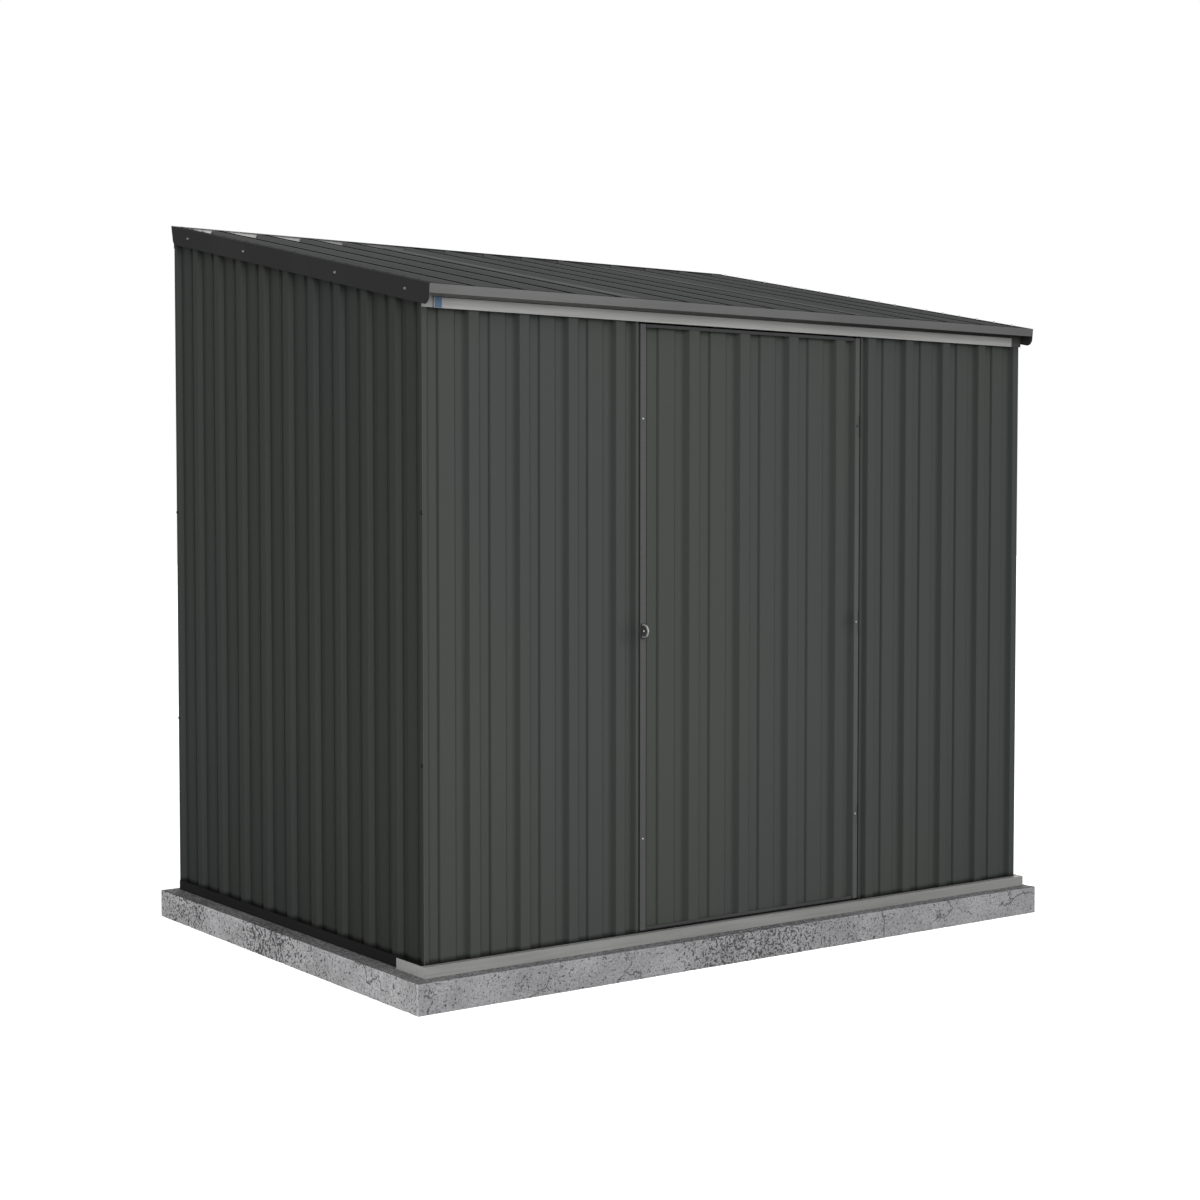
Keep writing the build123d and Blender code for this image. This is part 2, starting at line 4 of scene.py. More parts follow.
import bpy
import numpy as np
from bpy.props import FloatProperty, FloatVectorProperty, IntProperty, PointerProperty
from bpy.types import Operator, Panel, PropertyGroup
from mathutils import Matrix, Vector


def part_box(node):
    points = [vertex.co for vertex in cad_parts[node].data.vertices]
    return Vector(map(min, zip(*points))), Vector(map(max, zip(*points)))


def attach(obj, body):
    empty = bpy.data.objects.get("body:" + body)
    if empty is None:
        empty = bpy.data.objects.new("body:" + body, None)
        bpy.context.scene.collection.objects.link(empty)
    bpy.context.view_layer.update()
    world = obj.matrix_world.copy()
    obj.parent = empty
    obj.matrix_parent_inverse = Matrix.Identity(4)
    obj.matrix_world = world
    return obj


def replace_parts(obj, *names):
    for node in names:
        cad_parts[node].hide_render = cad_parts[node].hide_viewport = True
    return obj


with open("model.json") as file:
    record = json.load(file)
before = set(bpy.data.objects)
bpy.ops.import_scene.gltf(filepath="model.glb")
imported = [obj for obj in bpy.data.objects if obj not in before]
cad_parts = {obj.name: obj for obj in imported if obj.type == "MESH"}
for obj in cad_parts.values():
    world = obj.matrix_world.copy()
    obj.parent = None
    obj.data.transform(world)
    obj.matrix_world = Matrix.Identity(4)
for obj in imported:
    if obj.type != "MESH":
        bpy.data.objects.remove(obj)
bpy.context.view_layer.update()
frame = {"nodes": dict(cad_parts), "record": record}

bl_info = {
    "name": "Metal tool shed",
    "version": (1, 0, 0),
    "blender": (4, 5, 0),
    "location": "3D View > Sidebar > Shed",
    "description": "Rolled sheets, fixings, concrete plinth, finishes and studio for a tool shed",
    "category": "Object",
}

MM = 0.001
CHANNEL = 1.2 * MM

left_channel_low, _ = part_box("left_base_channel")
front_channel_low, front_channel_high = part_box("front_base_channel")
_, slab_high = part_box("concrete_slab")
header_low, header_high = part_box("door_header_channel")


def length(title, default, note):
    """Property for a length in metres."""
    return FloatProperty(name=title, description=note, default=default, unit="LENGTH", precision=5)


def lengths(title, default, note):
    """Property for a row of lengths in metres."""
    count = len(default)
    return FloatVectorProperty(name=title, description=note, default=default, unit="LENGTH", size=count)


def degrees(title, default, note):
    """Property for an angle whose default is given in degrees."""
    return FloatProperty(name=title, description=note, default=radians(default), unit="ROTATION")


def direction(title, default, note):
    """Property for the way to a light."""
    return FloatVectorProperty(name=title, description=note, default=default, subtype="DIRECTION")


def share(title, default, note):
    """Property for a plain factor."""
    return FloatProperty(name=title, description=note, default=default, subtype="FACTOR")


def colour(title, default, note):
    """Property for a linear colour."""
    return FloatVectorProperty(name=title, description=note, default=default, subtype="COLOR", size=3)


class SheetSizes(PropertyGroup):
    """Rolled sheet profile and where the walls and the roof start."""

    thickness: length("Thickness", 0.8 * MM, "Thickness of the steel sheet")
    rib_depth: length("Rib depth", 14.7 * MM, "Height of a crest over the pans")
    rib_crest: length("Rib crest", 30.0 * MM, "Flat width of a crest")
    rib_web_run: length("Rib web run", 7.2 * MM, "Sideways run of a sloping web")
    pan_flat: length("Pan flat", 30.5 * MM, "Flat width between a web and the swage")
    swage_height: length("Swage height", 5.6 * MM, "Height of the low swage in a pan")
    swage_run: length("Swage run", 3.0 * MM, "Sideways run of a swage's side")
    rib_bend: length("Rib bend", 2.6 * MM, "Inner radius of the rib bends")
    swage_bend: length("Swage bend", 1.8 * MM, "Inner radius of the swage bends")
    channel_thickness: length("Channel thickness", CHANNEL, "Thickness of the folded channels")
    wall_left: length("Wall left", left_channel_low.x + CHANNEL, "Outer face of the left wall's crests")
    wall_front: length("Wall front", front_channel_low.y + CHANNEL, "Outer face of the front wall's crests")
    wall_width: length("Wall width", 2.220, "Width over the side walls' crests")
    wall_depth: length("Wall depth", 1.514, "Depth over the front and rear walls' crests")
    front_height: length("Front height", 1.784, "Height of the front wall over the plinth")
    roof_pitch: degrees("Roof pitch", 11.51, "Slope of the roof")
    front_overhang: length("Front overhang", 50.0 * MM, "Reach of the roof in front of the wall")


class FixingSizes(PropertyGroup):
    """Screws, rivets, the end of the latch's pin and the patch. Levels count from the plinth's top."""

    hex_across: length("Hexagon", 5.5 * MM, "Width of a screw head across its flats")
    hex_height: length("Head height", 3.4 * MM, "Height of a screw head over its washer")
    washer_radius: length("Washer radius", 4.0 * MM, "Radius of a screw's washer")
    dome_radius: length("Rivet radius", 3.2 * MM, "Radius of a rivet's dome")
    dome_height: length("Rivet height", 1.7 * MM, "Height of a rivet's dome")
    corner_radius: length("Corner screw radius", 5.0 * MM, "Radius of the dark corner screws")
    corner_height: length("Corner screw height", 4.2 * MM, "Height of the dark corner screws")
    tuck: length("Tuck", 0.2 * MM, "How far the rim of a head sinks in")
    barge_runs: lengths("Barge screws", (0.068, 0.444, 1.006, 1.392), "Distances from the front wall")
    barge_drop: length("Barge screw drop", 11.0 * MM, "Height of the roof's line over the barge screws")
    barge_face: length("Barge face", 9.0 * MM, "Distance of a barge's face from its wall's crests")
    corner_levels: lengths("Corner screws", (0.552, 1.207), "Levels of the dark corner screws")
    corner_inset: length("Corner screw inset", 6.0 * MM, "Distance of the corner screws from a corner")
    latch_inset: length("Latch rivet inset", 9.7 * MM, "Distance of the rivets from the latch stile's edge")
    hinge_inset: length("Hinge rivet inset", 8.5 * MM, "Distance of the rivets from the hinge stile's edge")
    rivet_levels: lengths("Door rivets", (0.294, 0.876, 1.467), "Levels of the rivets on the stiles")
    pin_inset: length("Pin inset", 7.0 * MM, "Distance of the latch's pin from its plate's left edge")
    pin_reach: length("Pin reach", 2.0 * MM, "How far the pin's end stands in front of the plate")
    pin_level: length("Pin level", 0.877, "Level of the latch's pin")
    patch_runs: lengths("Patch runs", (0.034, 0.056), "Distances of the patch's sides from the left wall")
    patch_levels: lengths("Patch levels", (1.7345, 1.7625), "Levels of the patch's edges")
    patch_film: length("Patch film", 0.4 * MM, "Thickness of the patch")
    flange_spacing: length("Rivet spacing", 76.0 * MM, "Distance between rivets on a barge flange")
    flange_end: length("Flange end", 20.0 * MM, "Distance of the end rivets from the front and rear walls")
    flange_insets: lengths("Flange insets", (0.004, 0.012), "Distances from the left and right walls")


class ConcreteSizes(PropertyGroup):
    """Surface of the cast plinth."""

    step: length("Step", 5.0 * MM, "Distance between points of the surface")
    corner_radius: length("Corner radius", 3.0 * MM, "Rounding of the plinth's upright edges")
    pit_cell: length("Pit spacing", 20.0 * MM, "Average distance between pits")
    pit_depth: length("Pit depth", 1.6 * MM, "Depth of the deepest pits")
    zone_reach: length("Zone reach", 0.16, "How far a porous zone reaches from its middle")
    grain_depth: length("Grain depth", 0.9 * MM, "Depth of the cast surface's waviness")
    chip_depth: length("Chip depth", 3.5 * MM, "Depth of chips along the edges")
    seed: IntProperty(name="Seed", description="Number that the pits and chips follow from", default=11)


class Finishes(PropertyGroup):
    """Colours of the shed's finishes."""

    wall: colour("Wall coat", (0.0575, 0.0620, 0.0565), "Green-grey coat of walls and door")
    wall_cool: colour("Wall coat, cool", (0.0560, 0.0605, 0.0590), "Cooler tone that the wall drifts to")
    roof: colour("Roof coat", (0.118, 0.122, 0.120), "Coat of the roof sheets")
    trim: colour("Dark trim", (0.048, 0.048, 0.0485), "Near-black coat of the barge caps")
    frame_grey: colour("Frame grey", (0.069, 0.069, 0.069), "Mid-grey coat of the door's frame")
    eave: colour("Eave grey", (0.143, 0.143, 0.142), "Grey coat of the eave channel")
    bare: colour("Bare steel", (0.245, 0.245, 0.24), "Dull light grey metal of the base strip")
    header: colour("Header steel", (0.34, 0.34, 0.332), "Dull light grey metal of the header")
    lining: colour("Lining", (0.20, 0.205, 0.20), "Thin backing coat inside the sheets")
    concrete: colour("Concrete", (0.262, 0.260, 0.268), "Clean cast concrete")
    # The paler left side of the plinth is painted light: faces that look left get this lighter tone
    concrete_left_lit: colour("Concrete, left", (0.62, 0.615, 0.63), "Paler left side of the plinth")
    patch: colour("Patch", (0.075, 0.130, 0.21), "Plain blue patch at the header's end")
    zinc: colour("Zinc", (0.42, 0.42, 0.42), "Bright screws and rivets")
    dull_zinc: colour("Dull zinc", (0.34, 0.34, 0.335), "Latch bow")
    screw: colour("Black screw", (0.012, 0.012, 0.012), "Corner screws and one rivet")
    latch: colour("Latch plate", (0.030, 0.030, 0.030), "Near-black plate of the latch")
    # Partly painted light: this backing tone is set pale to stand in for the light on the cap's forward face
    cap_back: colour("Cap back", (0.5, 0.5, 0.49), "Pale backing coat of the rear cap")


class Studio(PropertyGroup):
    """Camera and light."""

    camera_place: FloatVectorProperty(
        name="Camera place",
        description="Where the camera stands",
        default=(-3.7961, -5.2399, 1.2974),
        subtype="XYZ",
        unit="LENGTH",
    )
    camera_turn: degrees("Camera turn", 35.917, "Turn of the view from +Y to +X")
    camera_dip: degrees("Camera dip", 2.535, "Tilt of the view below level")
    lens: FloatProperty(name="Lens", description="Focal length in mm for a 36 mm sensor", default=60.83)
    key: share("Key light", 2.9, "Strength of the soft sun from the front")
    key_way: direction("Key light way", (-0.12, -0.90, 0.42), "Way to the soft sun in front")
    key_spread: degrees("Key light spread", 70, "Width of the soft sun in front")
    rim: share("Back light", 1.1, "Strength of the soft sun from behind on the right")
    rim_way: direction("Back light way", (0.60, 0.75, 0.35), "Way to the soft sun behind")
    rim_spread: degrees("Back light spread", 40, "Width of the soft sun behind")
    ambient: share("Ambient", 0.42, "Even light from all round")
    floor_glow: share("Floor glow", 0.95, "How much the floor is lifted to white for the camera")
    floor_reach: length("Floor reach", 40.0, "Distance of the floor's edges from the middle")
    floor_drop: length("Floor drop", 0.3 * MM, "Depth of the floor under the plinth")


def settings(context, name):
    """Property group of that name on the scene."""
    return getattr(context.scene, "shed_" + name)


# Meshes


def put_mesh(name, points, faces, material, body, values=None, bend=40.0):
    """Make one closed piece from whole arrays and let it ride on a body.

    points is (n, 3), faces a list of (m, k) index arrays, one for each corner count. The signed
    volume, a sixth of the sum of a.(b x c) over the fanned triangles, tells whether the faces
    point outwards, and all are turned round if it is negative.
    """
    volume = sum(
        np.einsum("ij,ij->", points[part[:, 0]], np.cross(points[part[:, k]], points[part[:, k + 1]]))
        for part in faces
        for k in range(1, part.shape[1] - 1)
    )
    if volume < 0:
        faces = [part[:, ::-1] for part in faces]
    counts = np.concatenate([np.full(len(part), part.shape[1]) for part in faces])
    corners = np.concatenate([part.ravel() for part in faces])
    mesh = bpy.data.meshes.new(name)
    mesh.vertices.add(len(points))
    mesh.vertices.foreach_set("co", points.astype(np.float32).ravel())
    mesh.loops.add(len(corners))
    mesh.loops.foreach_set("vertex_index", corners.astype(np.int32))
    mesh.polygons.add(len(counts))
    mesh.polygons.foreach_set("loop_start", np.concatenate([[0], np.cumsum(counts)[:-1]]).astype(np.int32))
    mesh.update(calc_edges=True)
    mesh.validate()
    mesh.polygons.foreach_set("use_smooth", np.ones(len(mesh.polygons), bool))
    mesh.set_sharp_from_angle(angle=radians(bend))
    for key, array in (values or {}).items():
        mesh.attributes.new(key, "FLOAT", "POINT").data.foreach_set("value", array.astype(np.float32))
    mesh.materials.append(material)
    piece = bpy.data.objects.new(name, mesh)
    bpy.context.scene.collection.objects.link(piece)
    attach(piece, body)
    return piece


def grid_quads(rows, columns, around):
    """Quads between a grid's points, stored row by row; around joins the last column to the first."""
    start = np.arange(rows - 1)[:, None] * columns
    j = np.arange(columns if around else columns - 1)[None, :]
    following = (j + 1) % columns
    quads = [start + j, start + following, start + columns + following, start + columns + j]
    return np.stack([q.ravel() for q in quads], axis=1)


def plate_quads(count):
    """Faces of a thin plate stored as four lines: low inner, low outer, high inner and high outer."""
    i = np.arange(count - 1)
    low_in, low_out, high_in, high_out = (k * count + i for k in range(4))
    last = count - 1
    ends = np.array([[0, 2, 3, 1], [0, 1, 3, 2]]) * count + [[0], [last]]
    sides = [
        np.stack([low_in, low_in + 1, high_in + 1, high_in], 1),
        np.stack([low_out + 1, low_out, high_out, high_out + 1], 1),
        np.stack([low_in + 1, low_in, low_out, low_out + 1], 1),
        np.stack([high_in, high_in + 1, high_out + 1, high_out], 1),
    ]
    return np.concatenate([*sides, ends])


def profile_line(sizes, start, end, first_crest, pitch, stretch, edges):
    """Inner face of a rolled sheet as corner points (run, height).

    One bay is a row of eight offsets from its crest: crest, web, pan, swage, pan and web. All
    bays are that row plus the crest places first_crest + k * pitch, laid end to end and cut at
    start and end, where the height is read off by straight-line interpolation. A swage that an
    edge would cut is flattened. edges says for each edge how it ends: 0 as cut, "lip" with one
    more corner a lip's length lower, and a length with a crest of that width and a web to it.
    """
    half = sizes.rib_crest * stretch / 2
    web = sizes.rib_web_run * stretch
    foot = half + web
    swage = foot + sizes.pan_flat * stretch
    run = sizes.swage_run * stretch
    near = [-half, half, foot, swage, swage + run]
    offsets = np.array([*near, pitch - swage - run, pitch - swage, pitch - foot])
    heights = np.array([1, 1, 0, 0, 0, 0, 0, 0]) * sizes.rib_depth
    lift = np.array([0, 0, 0, 0, 1, 1, 0, 0]) * sizes.swage_height
    count = int((end - first_crest) / pitch) + 3
    crests = first_crest + pitch * np.arange(-2, count)
    whole = (crests + swage > start) & (crests + pitch - swage < end)
    runs = crests[:, None] + offsets
    level = heights + lift * whole[:, None]
    kept = np.ones_like(runs, bool)
    kept[:, 3:7] = whole[:, None]
    runs, level = runs[kept], level[kept]
    crest_widths = [0.0 if edge == "lip" else edge for edge in edges]
    cuts = [
        end_run + way * (width + web) if width else end_run
        for end_run, way, width in zip((start, end), (1, -1), crest_widths)
    ]
    inside = (runs > cuts[0] + 1e-6) & (runs < cuts[1] - 1e-6)
    ends = np.where(np.array(crest_widths) > 0, 0.0, np.interp(cuts, runs, level))
    line = np.column_stack([[cuts[0], *runs[inside], cuts[1]], [ends[0], *level[inside], ends[1]]])
    same = np.diff(line[:, 1]) == 0
    line = line[np.concatenate([[True], ~(same[:-1] & same[1:]), [True]])]
    lip = np.array([0, sizes.rib_depth - sizes.thickness])
    top = sizes.rib_depth
    lead, tail = [], []
    if edges[0] == "lip":
        lead = [line[0] - lip]
    elif edges[0]:
        lead = [[start, top], [start + crest_widths[0], top]]
    if edges[1] == "lip":
        tail = [line[-1] - lip]
    elif edges[1]:
        tail = [[end - crest_widths[1], top], [end, top]]
    return np.array([*lead, *line, *tail])


# Most that a bend or its shade takes of a flat beside it, and the heading over which a line rises
FLAT_SHARE = 0.45
LEVEL_HEADING = 0.1

# Shade at a bend, one row each for the bends before a rise, after it, before a fall and after it,
# first for ribs and then for swages: reach before, value at the start, value at the end, reach after
BEND_SHADE = np.array(
    [
        (20.0 * MM, 0.75, 0.20, 3.0 * MM),
        (1.0 * MM, 0.00, 0.00, 1.0 * MM),
        (2.0 * MM, 0.15, 0.60, 1.0 * MM),
        (1.0 * MM, 0.60, 0.60, 5.0 * MM),
        (3.0 * MM, 0.90, 0.80, 1.0 * MM),
        (1.0 * MM, 0.30, 0.10, 2.0 * MM),
        (1.5 * MM, 0.25, 0.80, 1.0 * MM),
        (1.0 * MM, 0.80, 0.70, 3.0 * MM),
    ]
)


def bent_line(line, radii, small, steps=4):
    """Round every corner of a line with an arc, as whole arrays.

    At a corner the heading turns from a to b. An arc of radius r starts r * tan(|b - a| / 2)
    before the corner, and its point at heading h is centre + side * r * (sin h, -cos h), with
    side +1 for a left turn and -1 for a right turn. One point before and one after each arc
    marks how far the bend's shade of BEND_SHADE reaches; the shade runs evenly between its
    values. Returns points, left-hand normals and the shade.
    """
    legs = np.diff(line, axis=0)
    spans = np.hypot(*legs.T)
    headings = np.arctan2(legs[:, 1], legs[:, 0])
    turn = np.diff(headings)
    side = np.sign(turn)
    reach = np.tan(np.abs(turn) / 2)
    room = FLAT_SHARE * np.minimum(spans[:-1], spans[1:])
    radius = np.minimum(radii, room / reach)
    cut = radius * reach
    before = np.stack([np.cos(headings[:-1]), np.sin(headings[:-1])], 1)
    after = np.stack([np.cos(headings[1:]), np.sin(headings[1:])], 1)
    corner = line[1:-1]
    begin = corner - before * cut[:, None]
    finish = corner + after * cut[:, None]
    centre = begin + (side * radius)[:, None] * np.stack([-before[:, 1], before[:, 0]], 1)
    h = headings[:-1, None] + turn[:, None] * np.linspace(0, 1, steps + 1)
    arcs = centre[:, None] + (side * radius)[:, None, None] * np.stack([np.sin(h), -np.cos(h)], 2)
    straight = spans - np.concatenate([[0], cut]) - np.concatenate([cut, [0]])
    rising = np.where(side > 0, headings[1:], headings[:-1]) > LEVEL_HEADING
    kind = np.where(rising, np.where(side > 0, 0, 1), np.where(side > 0, 3, 2))
    reach_in, first, last, reach_out = BEND_SHADE[kind + 4 * small].T
    lead = begin - before * np.minimum(reach_in, FLAT_SHARE * straight[:-1])[:, None]
    trail = finish + after * np.minimum(reach_out, FLAT_SHARE * straight[1:])[:, None]
    points = np.concatenate([lead[:, None], arcs, trail[:, None]], 1).reshape(-1, 2)
    angle = np.concatenate([h[:, :1], h, h[:, -1:]], 1).ravel()
    shade = np.zeros((len(corner), steps + 3))
    shade[:, 1:-1] = first[:, None] + (last - first)[:, None] * np.linspace(0, 1, steps + 1)
    points = np.vstack([line[0], points, line[-1]])
    angle = np.concatenate([headings[:1], angle, headings[-1:]])
    shade = np.concatenate([[0], shade.ravel(), [0]])
    return points, np.stack([-np.sin(angle), np.cos(angle)], 1), shade


REAR_PITCH = 2.22 / 14

# Share of a crest's height over which a point lies on the crest
CREST_SHARE = 0.85

# Rolled sheets: CAD node, piece, wall, first crest, pitch, stretch and how both edges end, in metres
SHEETS = (
    ("front_left_panel", "front_left_sheet", "front", 0.0, 0.159, 1.0, ("lip", 0.008)),
    ("front_right_panel", "front_right_sheet", "front", 1.5808, 0.1582, 1.0, (0.008, "lip")),
    ("door_panel", "door_sheet", "door", 0.7095, 0.1860378, 1.173, (0.0185, 0.016)),
    ("left_wall_front_panel", "left_wall_front_sheet", "left", 0.0, 0.1514, 1.0, (0, 0)),
    ("left_wall_rear_panel", "left_wall_rear_sheet", "left", 0.0, 0.1514, 1.0, (0, 0)),
    ("right_wall_front_panel", "right_wall_front_sheet", "right", 0.0, 0.1514, 1.0, (0, 0)),
    ("right_wall_rear_panel", "right_wall_rear_sheet", "right", 0.0, 0.1514, 1.0, (0, 0)),
    ("rear_wall_left_panel", "rear_wall_left_sheet", "rear", 0.0, REAR_PITCH, 1.0, ("lip", 0)),
    ("rear_wall_centre_panel", "rear_wall_centre_sheet", "rear", 0.0, REAR_PITCH, 1.0, (0, 0)),
    ("rear_wall_right_panel", "rear_wall_right_sheet", "rear", 0.0, REAR_PITCH, 1.0, (0, "lip")),
    ("roof_left_panel", "roof_left_sheet", "roof", -0.0138, 0.1582, 1.0, (0, 0)),
    ("roof_centre_panel", "roof_centre_sheet", "roof", 0.8566, 0.1582, 1.0, (0, 0)),
    ("roof_right_panel", "roof_right_sheet", "roof", 1.7220, 0.1582, 1.0, (0, 0)),
)


def rolled_sheet(context, row, material):
    """One rolled sheet as a thin solid.

    A profile point (run, height) lies at origin + run * along + height * outward, its outer
    twin one thickness further along the profile's own normal, and both are carried from the
    sheet's low end to its high end. On the side walls the high end follows the roof's slope.
    """
    node, piece_name, wall, first_crest, pitch, stretch, edges = row
    sizes = settings(context, "sheets")
    low, high = (np.array(corner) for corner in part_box(node))
    depth = sizes.rib_depth + sizes.thickness
    left, front = sizes.wall_left, sizes.wall_front
    right, back = left + sizes.wall_width, front + sizes.wall_depth
    rise = np.array([0, cos(sizes.roof_pitch), sin(sizes.roof_pitch)])
    roof_base = slab_high.z + sizes.front_height
    places = {
        "front": ((left, front + depth, 0), (1, 0, 0), (0, -1, 0)),
        "rear": ((left, back - depth, 0), (1, 0, 0), (0, 1, 0)),
        "left": ((left + depth, front, 0), (0, 1, 0), (-1, 0, 0)),
        "right": ((right - depth, front, 0), (0, 1, 0), (1, 0, 0)),
        "roof": ((left, front, roof_base), (1, 0, 0), (0, -rise[2], rise[1])),
    }
    places["door"] = places["front"]
    origin, along, outward = (np.array(v, float) for v in places[wall])
    axis = int(np.argmax(along))
    start, end = low[axis] - origin[axis], high[axis] - origin[axis]
    if edges[0] == "lip":
        start += sizes.thickness
    if edges[1] == "lip":
        end -= sizes.thickness
    line = profile_line(sizes, start, end, first_crest, pitch, stretch, edges)
    climb = np.abs(np.diff(line[:, 1]))
    swage = np.isclose(climb, sizes.swage_height, atol=1e-5)
    small = (swage[:-1] | swage[1:]).astype(int)
    radii = np.where(small, sizes.swage_bend, sizes.rib_bend)
    flat, normal, shade = bent_line(line, radii, small)
    # Share of a painted shade line along the far side of each crest, read by the roof's coat
    high_up = flat[:, 1] > CREST_SHARE * sizes.rib_depth
    off_crest = (flat[:, 0] - first_crest + pitch / 2) % pitch - pitch / 2
    crest_shade_share = high_up * np.clip(0.5 + off_crest / (sizes.rib_crest * stretch), 0, 1)
    spread = np.stack([flat, flat + normal * sizes.thickness])
    base = origin + spread[..., :1] * along + spread[..., 1:] * outward
    lower, upper = base.copy(), base.copy()
    if wall == "roof":
        eave_gap = 1.0 * MM
        lower -= rise * (sizes.front_overhang / rise[1] - eave_gap)
        upper += rise * (high[1] - front) / rise[1]
    else:
        lower[..., 2] = low[2]
        upper[..., 2] = high[2]
        if wall in ("left", "right"):
            slope = tan(sizes.roof_pitch)
            upper[..., 2] = roof_base + (upper[..., 1] - front) * slope - sizes.channel_thickness / rise[1]
    points = np.concatenate([lower.reshape(-1, 3), upper.reshape(-1, 3)])
    values = {
        "shade": np.tile(shade, 4),
        "inside": np.tile(np.repeat([1.0, 0.0], len(flat)), 2),
        "crest": np.tile(crest_shade_share, 4),
    }
    body = "door" if wall == "door" else "shed"
    piece = put_mesh(piece_name, points, [plate_quads(len(flat))], material, body, values)
    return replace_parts(piece, node)


def turned_head(rings, sides):
    """Head of a screw or rivet, standing on z = 0, as a grid of angle and ring.

    Ring k has radius rings[k][0] and height rings[k][1]. Where rings[k][2] is 1 the ring is a
    hexagon: its radius is divided by cos(angle folded into one sixth of a turn).
    """
    rings = np.array(rings, float)
    angle = np.arange(sides) * 2 * pi / sides
    folded = (angle + pi / 6) % (pi / 3) - pi / 6
    radius = rings[:, :1] * np.where(rings[:, 2:3] > 0, 1 / np.cos(folded), 1.0)
    height = np.broadcast_to(rings[:, 1:2], radius.shape)
    points = np.stack([radius * np.cos(angle), radius * np.sin(angle), height], 2).reshape(-1, 3)
    quads = grid_quads(len(rings), sides, True)
    caps = np.stack([np.arange(sides), np.arange(sides) + (len(rings) - 1) * sides])
    caps[0] = caps[0][::-1]
    return points, quads, caps


def stamped(head, places, normals, turns):
    """Copies of one head: point = place + x * side + y * up + z * normal, for all places at once."""
    points, quads, caps = head
    normals = np.array(normals, float)
    normals /= np.linalg.norm(normals, axis=1, keepdims=True)
    aid = np.where(np.abs(normals[:, 2:3]) > 0.9, [[0.0, 1.0, 0.0]], [[0.0, 0.0, 1.0]])
    side = np.cross(aid, normals)
    side /= np.linalg.norm(side, axis=1, keepdims=True)
    up = np.cross(normals, side)
    turns = np.array(turns, float)[:, None]
    first = side * np.cos(turns) + up * np.sin(turns)
    second = up * np.cos(turns) - side * np.sin(turns)
    x, y, z = (points[None, :, k : k + 1] for k in range(3))
    made = np.array(places, float)[:, None] + x * first[:, None] + y * second[:, None] + z * normals[:, None]
    shift = np.arange(len(normals))[:, None, None] * len(points)
    return made.reshape(-1, 3), [(part[None] + shift).reshape(-1, part.shape[1]) for part in (quads, caps)]


def screw_head(sizes):
    """Hexagon screw on its washer: a washer with a sloping edge, six flats and a low crown."""
    flats, top, wide = sizes.hex_across / 2, sizes.hex_height, sizes.washer_radius
    seat = 1.3 * MM
    rings = (
        (wide, -sizes.tuck, 0),
        (wide, 0.7 * MM, 0),
        (wide - 0.5 * MM, 1.1 * MM, 0),
        (flats + 0.4 * MM, seat, 0),
        (flats, seat, 1),
        (flats, top, 1),
        (flats * 0.86, top + 0.5 * MM, 0),
        (flats * 0.30, top + 0.6 * MM, 0),
    )
    return turned_head(rings, 24)


def domed_head(sizes, radius, height, crown, sides):
    """Rivet or round screw: rings of radius r * cos(a) at height h * sin(a), and a small flat crown."""
    dome = [(radius * cos(a), height * sin(a), 0) for a in np.linspace(0, pi / 2, 5)[:-1]]
    return turned_head([(radius, -sizes.tuck, 0), *dome, (crown, height, 0)], sides)


def film_patch(low, high, face, thickness):
    """Thin film on the header.

    A grid of points (x, z) between two corners stands forward of the face by thickness times
    (1 - |u|^6)(1 - |v|^6), with u and v from -1 to 1 across the grid, so its edges lie flat.
    """
    count = 15
    u, v = np.meshgrid(np.linspace(-1, 1, count), np.linspace(-1, 1, count))
    height = thickness * (1 - u**6) * (1 - v**6)
    x = low[0] + (high[0] - low[0]) * (u + 1) / 2
    z = low[1] + (high[1] - low[1]) * (v + 1) / 2
    points = np.stack([x, face - height, z], axis=-1).reshape(-1, 3)
    return points, [grid_quads(count, count, False)[:, ::-1]]


def set_heads(name, head, places, way, finish, body="shed", turns=None, bend=50.0):
    """One piece made of copies of a head that all look the same way."""
    count = len(places)
    points, faces = stamped(head, places, [way] * count, turns or [0] * count)
    put_mesh(name, points, faces, bpy.data.materials[finish], body, bend=bend)


# Noise


def hashed(cells, seed):
    """Even random value in 0 to 1 for each integer cell.

    The cell's three numbers and the seed are each multiplied by a large odd number, and their
    bits are mixed. The low bits of the result, over their largest value, are the random value.
    """
    n = cells.astype(np.int64)
    h = n[..., 0] * 73856093 ^ n[..., 1] * 19349663 ^ n[..., 2] * 83492791 ^ (seed * 2654435761)
    h = (h ^ (h >> 13)) * 1274126177 & 0x7FFFFFFF
    return ((h ^ (h >> 16)) & 0xFFFFF) / float(0xFFFFF)


def smooth_noise(points, cell, seed):
    """Value noise: random values at the corners of cubes of side cell, eased by 3t^2 - 2t^3."""
    scaled = points / cell
    base = np.floor(scaled)
    t = scaled - base
    t = t * t * (3 - 2 * t)
    total = np.zeros(len(points))
    for corner in np.ndindex(2, 2, 2):
        corner = np.array(corner)
        weight = np.prod(np.where(corner, t, 1 - t), axis=1)
        total += weight * hashed(base + corner, seed)
    return total


def pit_field(points, cell, seed, density):
    """Depth of round pits, 0 to 1.

    Each cube of side cell holds one centre at a random place and a random radius of 0.12 to
    0.42 cells. A pit's depth is 1 - (distance / radius)^2, and the deepest of the 27 nearest
    counts. density, 0 to 1 for each point, says which share of the pits is there.
    """
    scaled = points / cell
    base = np.floor(scaled)
    depth = np.zeros(len(points))
    for near in np.ndindex(3, 3, 3):
        cube = base + np.array(near) - 1
        centre = cube + np.stack([hashed(cube, seed + k) for k in (1, 2, 3)], axis=1)
        radius = 0.12 + 0.30 * hashed(cube, seed + 4) ** 2
        there = hashed(cube, seed + 5) < density
        gap = np.linalg.norm(scaled - centre, axis=1)
        depth = np.maximum(depth, np.where(there, 1 - (gap / radius) ** 2, 0))
    return depth


